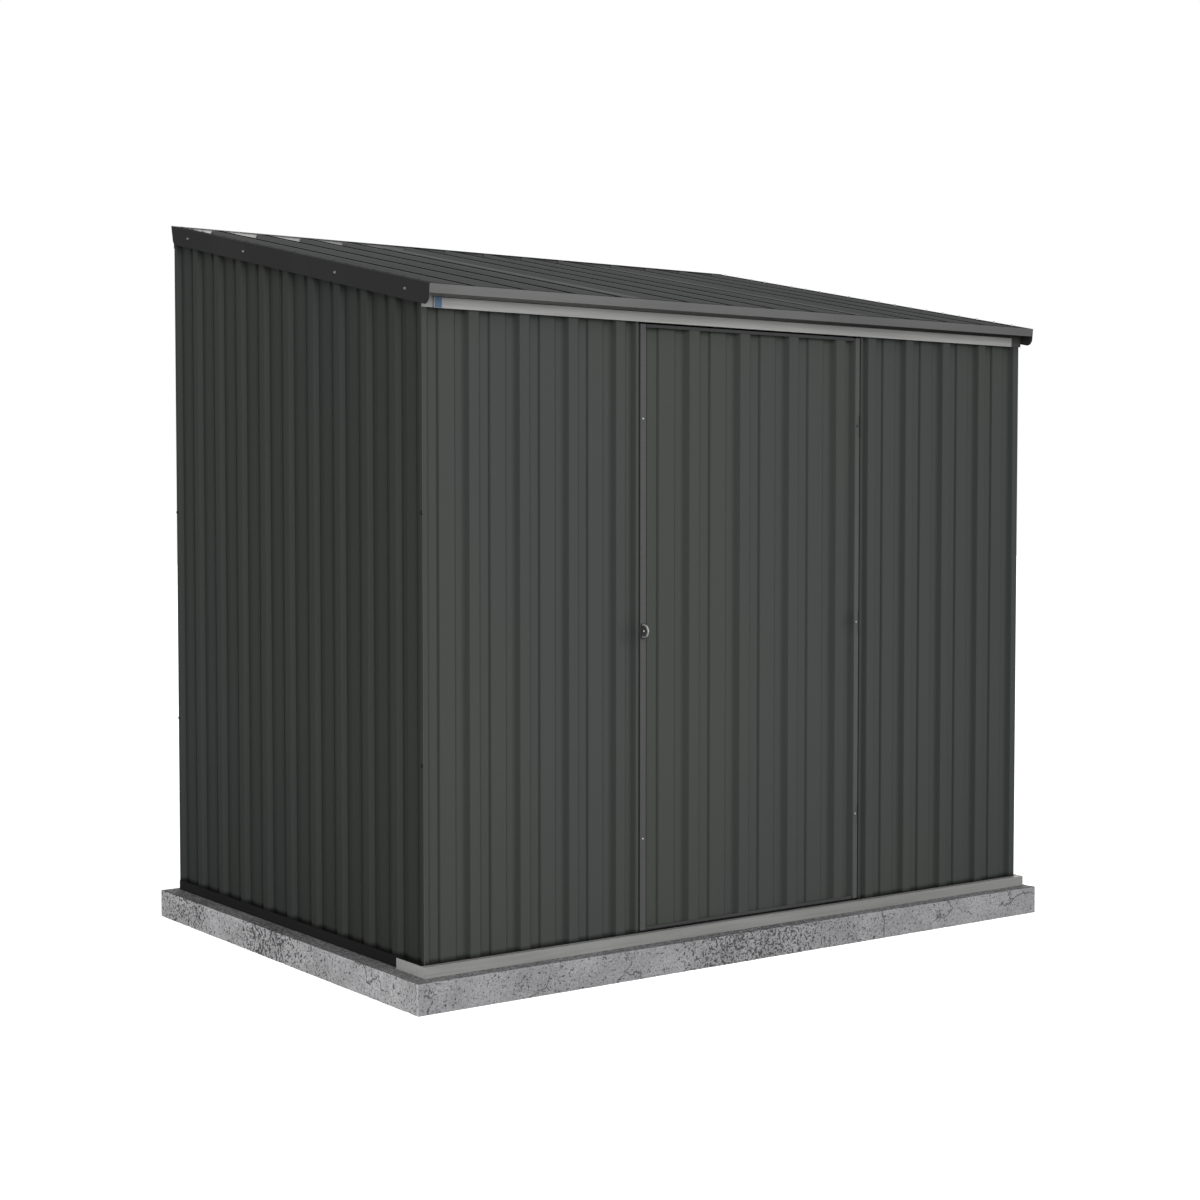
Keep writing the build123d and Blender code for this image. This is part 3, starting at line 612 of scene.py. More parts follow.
# Middles of the porous zones that the photo shows on the plinth's sides, as (x, y)
POROUS_ZONES = (
    (-0.13, -0.80),
    (0.06, -0.80),
    (-1.156, 0.62),
    (-1.156, 0.05),
    (1.156, 0.3),
    (0.4, 0.80),
)


def build_plinth(context, material):
    """Cast plinth as rings of points round a rectangle with slightly rounded upright edges.

    A ring is the outline moved inwards by an inset and set to a level. The rings climb the
    side, turn over the top edge in a quarter ellipse and run in over the rim. Noise, pits and
    chips only ever take material away: sideways on the side, downwards on the rim.
    """
    sizes = settings(context, "concrete")
    high = np.array(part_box("concrete_slab")[1])
    half, top = high[:2], high[2]
    radius = sizes.corner_radius
    straight = half - radius
    counts = (2 * straight / sizes.step).astype(int)
    run_x, run_y = (np.linspace(-reach, reach, count) for reach, count in zip(straight, counts))
    front = np.column_stack([run_x, np.full_like(run_x, -half[1])])
    right = np.column_stack([np.full_like(run_y, half[0]), run_y])
    outline = np.concatenate([front, right, -front, -right])
    core = np.clip(outline, -straight, straight)
    normal = (outline - core) / radius

    # Inset, level and share of the sideways way of each ring, from the foot to the end of the rim
    side_rings, turn_rings, rim_rings = 17, 4, 16
    edge, rim_reach = 3.0 * MM, 80 * MM
    levels = np.linspace(0, top - edge, side_rings)
    bend = np.linspace(0, pi / 2, turn_rings + 1)[1:]
    rim = np.linspace(edge, rim_reach, rim_rings + 1)[1:]
    inset = np.concatenate([np.zeros(side_rings), edge * (1 - np.cos(bend)), rim])
    level = np.concatenate([levels, top - edge + edge * np.sin(bend), np.full(rim_rings, top)])
    sideways = np.concatenate([np.ones(side_rings), np.cos(bend), np.zeros(rim_rings)])
    inward = 1 - np.maximum(inset - radius, 0)[:, None, None] / half
    flat = core * inward + normal * np.maximum(radius - inset, 0)[:, None, None]
    points = np.concatenate([flat, np.broadcast_to(level[:, None, None], (*flat.shape[:2], 1))], axis=2)
    rows, columns = points.shape[:2]
    points = points.reshape(-1, 3)
    inset, sideways = np.repeat(inset, columns), np.repeat(sideways, columns)

    # Waviness, pits that crowd in the porous zones, and chips along the foot and the top edge, with
    # the cells of each one's noise
    zone_cells, rough_cells, chip_cell = (0.30, 0.07), (0.040, 0.012), 0.022
    seed = sizes.seed
    broad, narrow = (smooth_noise(points, cell, seed + k) for cell, k in zip(zone_cells, (0, 3)))
    zone = 0.45 * broad + 0.15 * narrow
    for middle in POROUS_ZONES:
        away = np.hypot(*(points[:, :2] - middle).T)
        zone += 0.65 * np.exp(-((away / sizes.zone_reach) ** 2))
    zone = np.clip(zone, 0, 1)
    rough = sum(0.5 * smooth_noise(points, cell, seed + k) for cell, k in zip(rough_cells, (1, 2)))
    pits = pit_field(points, sizes.pit_cell, seed + 10, np.clip((zone - 0.3) * 1.2, 0.05, 0.6))
    chips = np.clip(smooth_noise(points, chip_cell, seed + 20) * 2.6 - 1.5, 0, 1)
    foot_reach, top_reach, fade_reach = 10 * MM, 9 * MM, 12 * MM
    near_foot = np.clip(1 - points[:, 2] / foot_reach, 0, 1)
    near_top = np.clip(1 - np.hypot(top - points[:, 2], inset) / top_reach, 0, 1)
    chip = chips * (near_foot + near_top)
    taken = sizes.grain_depth * rough + sizes.pit_depth * pits + sizes.chip_depth * chip
    fade = np.clip((rim_reach - inset) / fade_reach, 0, 1)
    points[:, :2] -= np.tile(normal, (rows, 1)) * (taken * sideways)[:, None]
    points[:, 2] -= (1 - sideways) * taken * fade
    quads = grid_quads(rows, columns, True)
    caps = np.stack([np.arange(columns)[::-1], np.arange(columns) + (rows - 1) * columns])
    values = {"pit": np.clip(pits + 0.5 * chip, 0, 1), "zone": zone}
    piece = put_mesh("cast_plinth", points, [quads, caps], material, "shed", values, 60.0)
    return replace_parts(piece, "concrete_slab")


# Node trees

# Darker patches on the coat near the latch and the middle hinge: place on the front, and reach
DARK_PATCH_PLACES = (((-0.432, -0.735, 0.955), 0.060), ((0.398, -0.735, 0.965), 0.055))

# Shade right of the door's two stiles: where it starts, its reach, how steeply it ends and its strength
EDGE_SHADES = (
    (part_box("door_latch_stile")[1].x, 0.014, 4.0, 0.85),
    (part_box("door_hinge_stile")[1].x, 0.040, 1.0, 0.30),
)

# Pores of the concrete, coarse and fine: scale of the noise, and level over which its peaks are pores
PORE_SIZES = ((150.0, 0.635), (85.0, 0.655))


def place(tree, kind, inputs=None, **options):
    """Add a node, set its options, and fill or link its inputs."""
    made = tree.nodes.new(kind)
    for option, value in options.items():
        setattr(made, option, value)
    for socket, value in (inputs or {}).items():
        if isinstance(value, bpy.types.NodeSocket):
            tree.links.new(value, made.inputs[socket])
        else:
            made.inputs[socket].default_value = value
    return made


def reckon(tree, operation, *values, clamp=False):
    """Output of a Math node."""
    inputs = dict(enumerate(values))
    return place(tree, "ShaderNodeMath", inputs, operation=operation, use_clamp=clamp).outputs[0]


def mixed(tree, factor, first, second, mode="MIX"):
    """Output of a colour Mix node."""
    inputs = {0: factor, 6: first, 7: second}
    return place(tree, "ShaderNodeMix", inputs, data_type="RGBA", blend_type=mode).outputs[2]


def covered(tree, base, mask, amount, cover):
    """Base colour with a cover laid over it where the mask is, as strong as the amount."""
    return mixed(tree, reckon(tree, "MULTIPLY", mask, amount), base, cover)


def ranged(tree, value, low, high, to_low=0.0, to_high=1.0):
    """Value carried from one range to another and held at its ends."""
    inputs = {"Value": value, "From Min": low, "From Max": high, "To Min": to_low, "To Max": to_high}
    return place(tree, "ShaderNodeMapRange", inputs, interpolation_type="SMOOTHSTEP").outputs[0]


def noise(tree, vector, scale, detail=2.0, roughness=0.5):
    """Fac output of a noise texture."""
    inputs = {"Vector": vector, "Scale": scale, "Detail": detail, "Roughness": roughness}
    return place(tree, "ShaderNodeTexNoise", inputs).outputs[0]


def stretched(tree, vector, scale):
    """Vector scaled by a Mapping node."""
    return place(tree, "ShaderNodeMapping", {"Vector": vector, "Scale": scale}).outputs[0]


def parted(tree, vector):
    """Outputs X, Y and Z of a vector."""
    return place(tree, "ShaderNodeSeparateXYZ", {0: vector}).outputs


def grey(tree, value):
    """Colour with one value in all three channels."""
    return place(tree, "ShaderNodeCombineColor", {0: value, 1: value, 2: value}).outputs[0]


def attribute(tree, key):
    """Value of a point attribute of the mesh."""
    return place(tree, "ShaderNodeAttribute", attribute_name=key).outputs["Fac"]


def rgba(tone, factor=1.0):
    """Tone times a factor, with full alpha."""
    return (*(factor * c for c in tone), 1.0)


def new_group(name, inputs, outputs):
    """Empty shader group with named sockets. Returns the tree, its inputs and its output node."""
    tree = bpy.data.node_groups.new(name, "ShaderNodeTree")
    kinds = {"v": "NodeSocketVector", "f": "NodeSocketFloat", "c": "NodeSocketColor"}
    for title, kind, default in inputs:
        socket = tree.interface.new_socket(name=title, in_out="INPUT", socket_type=kinds[kind])
        if default is not None:
            socket.default_value = default
    for title, kind in outputs:
        tree.interface.new_socket(name=title, in_out="OUTPUT", socket_type=kinds[kind])
    return tree, tree.nodes.new("NodeGroupInput").outputs, tree.nodes.new("NodeGroupOutput")


def use_group(tree, name, inputs=None):
    """Outputs of a shared group placed in a material."""
    return place(tree, "ShaderNodeGroup", inputs, node_tree=bpy.data.node_groups[name]).outputs


def make_tone_group():
    """Slow drift between two tones, in soft patches that are taller than wide."""
    tree, given, out = new_group(
        "Tone drift",
        [("Vector", "v", None), ("Scale", "f", 1.2), ("Tone A", "c", None), ("Tone B", "c", None)],
        [("Colour", "c")],
    )
    tall = stretched(tree, given["Vector"], (1.0, 1.0, 0.45))
    mask = ranged(tree, noise(tree, tall, given["Scale"], 3.0), 0.38, 0.62)
    tree.links.new(mixed(tree, mask, given["Tone A"], given["Tone B"]), out.inputs["Colour"])


def make_bend_group():
    """Painted shade along the bends, broken up by noise that is drawn out along the sheet."""
    tree, given, out = new_group("Painted bend shade", [("Vector", "v", None), ("Shade", "f", 0.0)], [("Mask", "f")])
    tall = stretched(tree, given["Vector"], (1.0, 1.0, 0.15))
    broken = ranged(tree, noise(tree, tall, 9.0, 4.0), 0.25, 0.7, 0.8, 1.0)
    tree.links.new(reckon(tree, "MULTIPLY", given["Shade"], broken), out.inputs["Mask"])


def make_foot_darkening_group():
    """Darkening that is strongest at a level and thins out over a reach, with a ragged edge."""
    tree, given, out = new_group(
        "Foot darkening", [("Vector", "v", None), ("Level", "f", 0.1), ("Reach", "f", 0.5)], [("Mask", "f")]
    )
    height = parted(tree, given["Vector"])[2]
    above = reckon(tree, "DIVIDE", reckon(tree, "SUBTRACT", height, given["Level"]), given["Reach"])
    ragged = reckon(tree, "MULTIPLY_ADD", noise(tree, given["Vector"], 9.0, 5.0), -0.3, above)
    tree.links.new(reckon(tree, "SUBTRACT", 1.0, ragged, clamp=True), out.inputs["Mask"])


def make_edge_group():
    """Shade on the front that starts at an upright edge and thins out to the right of it."""
    tree, given, out = new_group(
        "Edge shade",
        [("Vector", "v", None), ("Start", "f", 0.0), ("Reach", "f", 0.01), ("Steep", "f", 1.0)],
        [("Mask", "f")],
    )
    x, y, _ = parted(tree, given["Vector"])
    past = reckon(tree, "SUBTRACT", x, given["Start"])
    left_over = reckon(tree, "SUBTRACT", 1.0, reckon(tree, "DIVIDE", past, given["Reach"]))
    fades = reckon(tree, "MULTIPLY", left_over, given["Steep"], clamp=True)
    starts = reckon(tree, "MULTIPLY", fades, reckon(tree, "GREATER_THAN", past, 0.0))
    front = reckon(tree, "LESS_THAN", y, 0.0)
    tree.links.new(reckon(tree, "MULTIPLY", starts, front), out.inputs["Mask"])


def make_facing_group():
    """How far a surface faces left, front and up, from the normal of the unposed piece."""
    tree, _, out = new_group("Facing", [], [("Left", "f"), ("Front", "f"), ("Up", "f")])
    x, y, z = parted(tree, place(tree, "ShaderNodeTexCoord").outputs["Normal"])
    tree.links.new(ranged(tree, x, -0.95, -0.6, 1.0, 0.0), out.inputs["Left"])
    tree.links.new(ranged(tree, y, -0.95, -0.6, 1.0, 0.0), out.inputs["Front"])
    tree.links.new(ranged(tree, z, 0.5, 0.9), out.inputs["Up"])


def make_dark_patch_group():
    """Soft darker patch round a place, with a blurred and broken edge."""
    tree, given, out = new_group(
        "Dark patch", [("Vector", "v", None), ("Place", "v", None), ("Reach", "f", 0.05)], [("Mask", "f")]
    )
    ends = {0: given["Vector"], 1: given["Place"]}
    away = place(tree, "ShaderNodeVectorMath", ends, operation="DISTANCE").outputs["Value"]
    near = reckon(tree, "DIVIDE", away, given["Reach"])
    broken = reckon(tree, "MULTIPLY_ADD", noise(tree, given["Vector"], 40.0, 2.0), 0.5, near)
    tree.links.new(ranged(tree, broken, 0.2, 1.3, 1.0, 0.0), out.inputs["Mask"])


def make_grain_group():
    """Height of a fine coat: orange peel over a slow waviness of the thin sheet."""
    tree, given, out = new_group(
        "Coat grain", [("Vector", "v", None), ("Scale", "f", 420.0), ("Wave", "f", 0.5)], [("Height", "f")]
    )
    peel = noise(tree, given["Vector"], given["Scale"], 2.0)
    wave = reckon(tree, "MULTIPLY", noise(tree, given["Vector"], 3.2, 1.0), given["Wave"])
    tree.links.new(reckon(tree, "ADD", peel, wave), out.inputs["Height"])


def make_streak_group():
    """Rolling streaks that run along X."""
    tree, given, out = new_group(
        "Rolling streaks", [("Vector", "v", None), ("Scale", "f", 60.0)], [("Mask", "f")]
    )
    long = stretched(tree, given["Vector"], (0.03, 1.0, 1.0))
    tree.links.new(noise(tree, long, given["Scale"], 4.0, 0.6), out.inputs["Mask"])


def make_pore_group():
    """Ragged dark pores: the peaks of a fine noise over a level that falls where pores crowd."""
    tree, given, out = new_group(
        "Pores",
        [("Vector", "v", None), ("Scale", "f", 90.0), ("Level", "f", 0.66), ("Crowd", "f", 0.0)],
        [("Mask", "f")],
    )
    level = reckon(tree, "MULTIPLY_ADD", given["Crowd"], -0.085, given["Level"])
    peaks = noise(tree, given["Vector"], given["Scale"], 1.5, 0.6)
    full = reckon(tree, "ADD", level, 0.02)
    tree.links.new(ranged(tree, peaks, level, full), out.inputs["Mask"])


def material_tree(name, specular):
    """New material with its tree, its Principled shader and its Object coordinates."""
    material = bpy.data.materials.new(name)
    material.use_nodes = True
    tree = material.node_tree
    shader = tree.nodes["Principled BSDF"]
    shader.inputs["Specular IOR Level"].default_value = specular
    where = tree.nodes.new("ShaderNodeTexCoord").outputs["Object"]
    return tree, shader, where


def bumped(tree, shader, height, strength, distance):
    """Feed a height through a Bump node to the shader's normal."""
    made = place(tree, "ShaderNodeBump", {"Strength": strength, "Distance": distance, "Height": height})
    tree.links.new(made.outputs[0], shader.inputs["Normal"])


def fine_grain(tree, shader, where):
    """Grain of the coat or metal on folded pieces."""
    grain = use_group(tree, "Coat grain", {"Vector": where, "Scale": 300.0, "Wave": 0.3})
    bumped(tree, shader, grain["Height"], strength=0.08, distance=0.5 * MM)


def coated_steel(
    name, tone, cool, lining, *, bend_shade_share=0.75, far_crest_shade=0.0, specular=0.04, foot_darkening=0.14, fall=0.22
):
    """Baked coat on steel sheet, with a lining on its inner face.

    Two tones drift over each other, and a painted falloff of light darkens them to the right by
    the share fall. Painted shade lies in and beside the bends, the coat darkens towards the foot
    with painted contact shade over the base channel, a painted shade line of the strength given
    for it runs along one side of each crest, shade lies beside the door's stiles, and the coat
    is darker in patches by the latch and the middle hinge.
    """
    tree, shader, where = material_tree(name, specular)
    dark, contact_shade_tone, crest_shade_tone = (rgba(tone, factor) for factor in (0.35, 0.10, 0.06))
    drift = use_group(tree, "Tone drift", {"Vector": where, "Tone A": rgba(tone), "Tone B": rgba(cool)})
    # Painted falloff of light: the coat darkens towards the right by the share fall
    painted_falloff = ranged(tree, parted(tree, where)[0], -0.2, 1.3, 0.0, fall)
    base = mixed(tree, painted_falloff, drift["Colour"], dark)
    # Painted shade in and beside the bends, from the sheet's shade attribute
    bends = use_group(tree, "Painted bend shade", {"Vector": where, "Shade": attribute(tree, "shade")})
    base = covered(tree, base, bends["Mask"], bend_shade_share, dark)
    # Painted shade line along one side of each crest
    base = covered(tree, base, ranged(tree, attribute(tree, "crest"), 0.0, 0.1), far_crest_shade, crest_shade_tone)
    for spot, reach in DARK_PATCH_PLACES:
        patch_mask = use_group(tree, "Dark patch", {"Vector": where, "Place": spot, "Reach": reach})
        base = covered(tree, base, patch_mask["Mask"], 0.30, dark)
    for start, reach, steep, amount in EDGE_SHADES:
        inputs = {"Vector": where, "Start": start, "Reach": reach, "Steep": steep}
        base = covered(tree, base, use_group(tree, "Edge shade", inputs)["Mask"], amount, dark)
    # Darker towards the foot of the walls
    low = use_group(tree, "Foot darkening", {"Vector": where, "Level": slab_high.z})["Mask"]
    base = covered(tree, base, low, foot_darkening, dark)
    # Painted contact shade at the foot of the sheets, over the top of the base channel
    inputs = {"Vector": where, "Level": front_channel_high.z, "Reach": 12 * MM}
    base = covered(tree, base, use_group(tree, "Foot darkening", inputs)["Mask"], 6 * foot_darkening, contact_shade_tone)
    base = mixed(tree, attribute(tree, "inside"), base, rgba(lining))
    tree.links.new(base, shader.inputs["Base Color"])
    rough = reckon(tree, "MULTIPLY_ADD", noise(tree, where, 6.0, 4.0), 0.10, 0.5)
    tree.links.new(reckon(tree, "MULTIPLY_ADD", low, 0.1, rough), shader.inputs["Roughness"])
    grain = use_group(tree, "Coat grain", {"Vector": where, "Wave": 0.8})
    bumped(tree, shader, grain["Height"], strength=0.10, distance=0.6 * MM)


def plain_coat(
    name, tone, *, roughness, specular=0.0, metallic=0.0, streak=0.0, fall=0.0, left=1.0, up=1.0, eave=None
):
    """Coat or bare metal on folded channels, with rolling streaks and a slow drift of tone.

    left and up are tone factors of the faces that look left and up, painted light and shade. fall
    is how much the tone loses towards the shed's right end, a painted falloff of light, and over
    the level eave lies painted shade from the eave.
    """
    tree, shader, where = material_tree(name, specular)
    inputs = {"Vector": where, "Scale": 2.2, "Tone A": rgba(tone), "Tone B": rgba(tone, 1.12)}
    drift = use_group(tree, "Tone drift", inputs)["Colour"]
    streaks = use_group(tree, "Rolling streaks", {"Vector": where, "Scale": 130.0})["Mask"]
    base = mixed(tree, ranged(tree, streaks, 0.35, 0.75, 0.0, streak), drift, rgba(tone, 0.72))
    x, _, z = parted(tree, where)
    # Painted falloff of light towards the shed's right end
    factor = ranged(tree, x, -1.1, 1.1, 1.0, 1.0 - fall)
    facing = use_group(tree, "Facing")
    # Painted light and shade on the faces that look left and up
    for side, change in (("Left", left), ("Up", up)):
        if change != 1.0:
            turned = reckon(tree, "MULTIPLY_ADD", facing[side], change - 1.0, 1.0)
            factor = reckon(tree, "MULTIPLY", factor, turned)
    # Painted shade under the eave, over the level eave
    if eave is not None:
        under_eave_shade = reckon(tree, "GREATER_THAN", z, eave)
        factor = reckon(tree, "MULTIPLY", factor, reckon(tree, "MULTIPLY_ADD", under_eave_shade, -0.9, 1.0))
    tree.links.new(mixed(tree, 1.0, base, grey(tree, factor), "MULTIPLY"), shader.inputs["Base Color"])
    tree.links.new(reckon(tree, "MULTIPLY_ADD", streaks, 0.18, roughness), shader.inputs["Roughness"])
    shader.inputs["Metallic"].default_value = metallic
    fine_grain(tree, shader, where)


def cast_concrete(name, tone, left_lit_tone):
    """Cast concrete: mottled cement skin, sand grain, ragged pores that crowd in zones, fine cracks, painted
    light on the left side and painted shade on top and in the pits.
    """
    tree, shader, where = material_tree(name, specular=0.2)
    facing = use_group(tree, "Facing")
    # Painted light: faces that look left take the paler tone
    plain = mixed(tree, facing["Left"], rgba(tone), rgba(left_lit_tone))
    clouds = ranged(tree, noise(tree, where, 9.0, 5.0, 0.65), 0.3, 0.7, 0.86, 1.14)
    sand = noise(tree, where, 170.0, 2.0, 0.7)
    speck = ranged(tree, sand, 0.3, 0.7, 0.80, 1.22)
    base = mixed(tree, 1.0, plain, grey(tree, reckon(tree, "MULTIPLY", clouds, speck)), "MULTIPLY")

    # Dark places are the strongest of pits and chips, darkened as painted shade in their hollows, pores,
    # cracks and a mottled painted shade on the faces that look up
    # Pits and chips are darkened in colour: painted shade in their hollows
    dark = ranged(tree, attribute(tree, "pit"), 0.2, 0.7, 0.0, 0.6)
    crowd = ranged(tree, attribute(tree, "zone"), 0.2, 1.0)
    for scale, level in PORE_SIZES:
        inputs = {"Vector": where, "Scale": scale, "Level": level, "Crowd": crowd}
        dark = reckon(tree, "MAXIMUM", dark, use_group(tree, "Pores", inputs)["Mask"])
    warp = place(tree, "ShaderNodeTexNoise", {"Vector": where, "Scale": 16.0, "Detail": 4.0}).outputs[1]
    inputs = {0: warp, 1: (0.11, 0.11, 0.11), 2: where}
    bent = place(tree, "ShaderNodeVectorMath", inputs, operation="MULTIPLY_ADD").outputs[0]
    cells = place(tree, "ShaderNodeTexVoronoi", {"Vector": bent, "Scale": 3.9}, feature="DISTANCE_TO_EDGE")
    line = ranged(tree, cells.outputs["Distance"], 0.0, 0.013, 1.0, 0.0)
    crack = reckon(tree, "MULTIPLY", line, ranged(tree, noise(tree, where, 5.0, 3.0), 0.42, 0.52))
    dark = reckon(tree, "MAXIMUM", dark, crack)
    # Mottled painted shade on the faces that look up
    top_shade = ranged(tree, noise(tree, where, 110.0, 2.0), 0.35, 0.6, 0.1, 0.75)
    dark = reckon(tree, "MAXIMUM", dark, reckon(tree, "MULTIPLY", facing["Up"], top_shade))

    base = covered(tree, base, dark, 0.85, (0.035, 0.032, 0.031, 1))
    tree.links.new(base, shader.inputs["Base Color"])
    shader.inputs["Roughness"].default_value = 0.9
    height = reckon(tree, "SUBTRACT", reckon(tree, "MULTIPLY", sand, 0.35), dark)
    bumped(tree, shader, height, strength=0.7, distance=1.2 * MM)


def cap_steel(name, tone, pale):
    """Dark coat of the rear cap, with a pale backing coat on the face that looks forward, partly painted
    light, that fades out towards the right.
    """
    tree, shader, where = material_tree(name, specular=0.0)
    backing = ranged(tree, noise(tree, where, 30.0, 3.0), 0.3, 0.7, 0.85, 1.0)
    # Painted falloff of light: the pale face fades out towards the right
    light_at_left = ranged(tree, parted(tree, where)[0], -1.0, -0.1, 1.0, 0.05)
    inner = reckon(tree, "MULTIPLY", use_group(tree, "Facing")["Front"], light_at_left)
    tree.links.new(covered(tree, rgba(tone), inner, backing, rgba(pale)), shader.inputs["Base Color"])
    shader.inputs["Roughness"].default_value = 0.55
    fine_grain(tree, shader, where)


# Operators

# Finish of each material slot, and the nodes whose finish differs from their slot's
SLOT_FINISHES = {
    "concrete": "Cast concrete",
    "wall_steel": "Wall coat",
    "roof_steel": "Roof coat",
    "dark_trim": "Dark trim coat",
    "frame_grey": "Frame grey coat",
    "bare_steel": "Bare steel",
    "hardware": "Dull zinc",
}
OTHER_FINISHES = {
    "Eave coat": ("roof_front_channel",),
    "Header steel": ("door_header_channel",),
    "Rear cap coat": ("roof_rear_cap",),
    "Latch plate coat": ("latch_plate",),
    "Top channel coat": ("front_top_channel",),
    # The hinge leaves are painted dark; the door's top and bottom rails take the dark trim coat as painted
    # shade lines at the door's top and foot
    "Dark trim coat": ("hinge_frame_leaves", "hinge_door_leaves", "door_top_rail", "door_bottom_rail"),
    "Shaded base channel coat": [side + "_base_channel" for side in ("front", "left", "right", "rear")],
}
NODE_FINISHES = {node: finish for finish, nodes in OTHER_FINISHES.items() for node in nodes}


class SHED_OT_finishes(Operator):
    """Make the shared effects and the finishes, and put them on the CAD pieces"""

    bl_idname = "shed.finishes"
    bl_label = "Finishes"

    def execute(self, context):
        tones = settings(context, "finishes")
        for make in (
            make_tone_group,
            make_bend_group,
            make_edge_group,
            make_facing_group,
            make_foot_darkening_group,
            make_dark_patch_group,
            make_grain_group,
            make_streak_group,
            make_pore_group,
        ):
            make()
        # The roof's coat carries painted shade at its bends and along one side of each crest
        roof_shades = {"bend_shade_share": 0.25, "far_crest_shade": 1.0, "specular": 0.0, "foot_darkening": 0.0, "fall": 0.1}
        coated_steel("Wall coat", tones.wall, tones.wall_cool, tones.lining)
        coated_steel("Roof coat", tones.roof, [0.94 * c for c in tones.roof], tones.lining, **roof_shades)
        plain_coat("Dark trim coat", tones.trim, roughness=0.6)
        # Base channels take a darker copy of the trim coat: painted shade at the foot
        plain_coat("Shaded base channel coat", [0.55 * c for c in tones.trim], roughness=0.5)
        plain_coat("Frame grey coat", tones.frame_grey, roughness=0.42, specular=0.12, streak=0.2)
        # Eave channel: its faces that look up are painted a quarter as bright, and it is painted darker to
        # the right: painted shade
        plain_coat("Eave coat", tones.eave, roughness=0.5, streak=0.15, fall=0.25, up=0.25)
        # Top channel: painted shade darkens it strongly towards the right
        plain_coat("Top channel coat", tones.header, roughness=0.5, streak=0.15, fall=0.8)
        # Base strip: faces that look left are painted 2.2 times lighter, painted light, and it darkens
        # slightly to the right
        strip = {"specular": 0.3, "metallic": 0.15, "streak": 0.5, "fall": 0.12, "left": 2.2}
        plain_coat("Bare steel", tones.bare, roughness=0.42, **strip)
        # Header: its top 1.8 mm is painted dark as shade under the eave, with a slight painted falloff to
        # the right
        eave_shade = header_high.z - 1.8 * MM
        header = {"specular": 0.2, "metallic": 0.10, "streak": 0.4, "fall": 0.05, "eave": eave_shade}
        plain_coat("Header steel", tones.header, roughness=0.42, **header)
        plain_coat("Zinc plate", tones.zinc, roughness=0.30, specular=0.5, streak=0.2, metallic=0.75)
        plain_coat("Dull zinc", tones.dull_zinc, roughness=0.45, specular=0.3, streak=0.3, metallic=0.2)
        plain_coat("Black screw", tones.screw, roughness=0.4, specular=0.2)
        plain_coat("Latch plate coat", tones.latch, roughness=0.45, specular=0.1)
        plain_coat("Patch film", tones.patch, roughness=0.35, specular=0.3)
        cap_steel("Rear cap coat", tones.trim, tones.cap_back)
        cast_concrete("Cast concrete", tones.concrete, tones.concrete_left_lit)
        for part in frame["record"]["subparts"]:
            node = part["node"]
            mesh = frame["nodes"][node].data
            mesh.materials.clear()
            finish = NODE_FINISHES.get(node, SLOT_FINISHES[part["material_slot"]])
            mesh.materials.append(bpy.data.materials[finish])
        return {"FINISHED"}


class SHED_OT_sheets(Operator):
    """Roll the ribbed sheets of walls, door and roof with rounded bends"""

    bl_idname = "shed.sheets"
    bl_label = "Rolled sheets"

    def execute(self, context):
        for row in SHEETS:
            coat = "Roof coat" if row[2] == "roof" else "Wall coat"
            rolled_sheet(context, row, bpy.data.materials[coat])
        return {"FINISHED"}


class SHED_OT_plinth(Operator):
    """Cast the concrete plinth with pits, and chips along its foot and top edge"""

    bl_idname = "shed.plinth"
    bl_label = "Concrete plinth"

    def execute(self, context):
        build_plinth(context, bpy.data.materials["Cast concrete"])
        return {"FINISHED"}


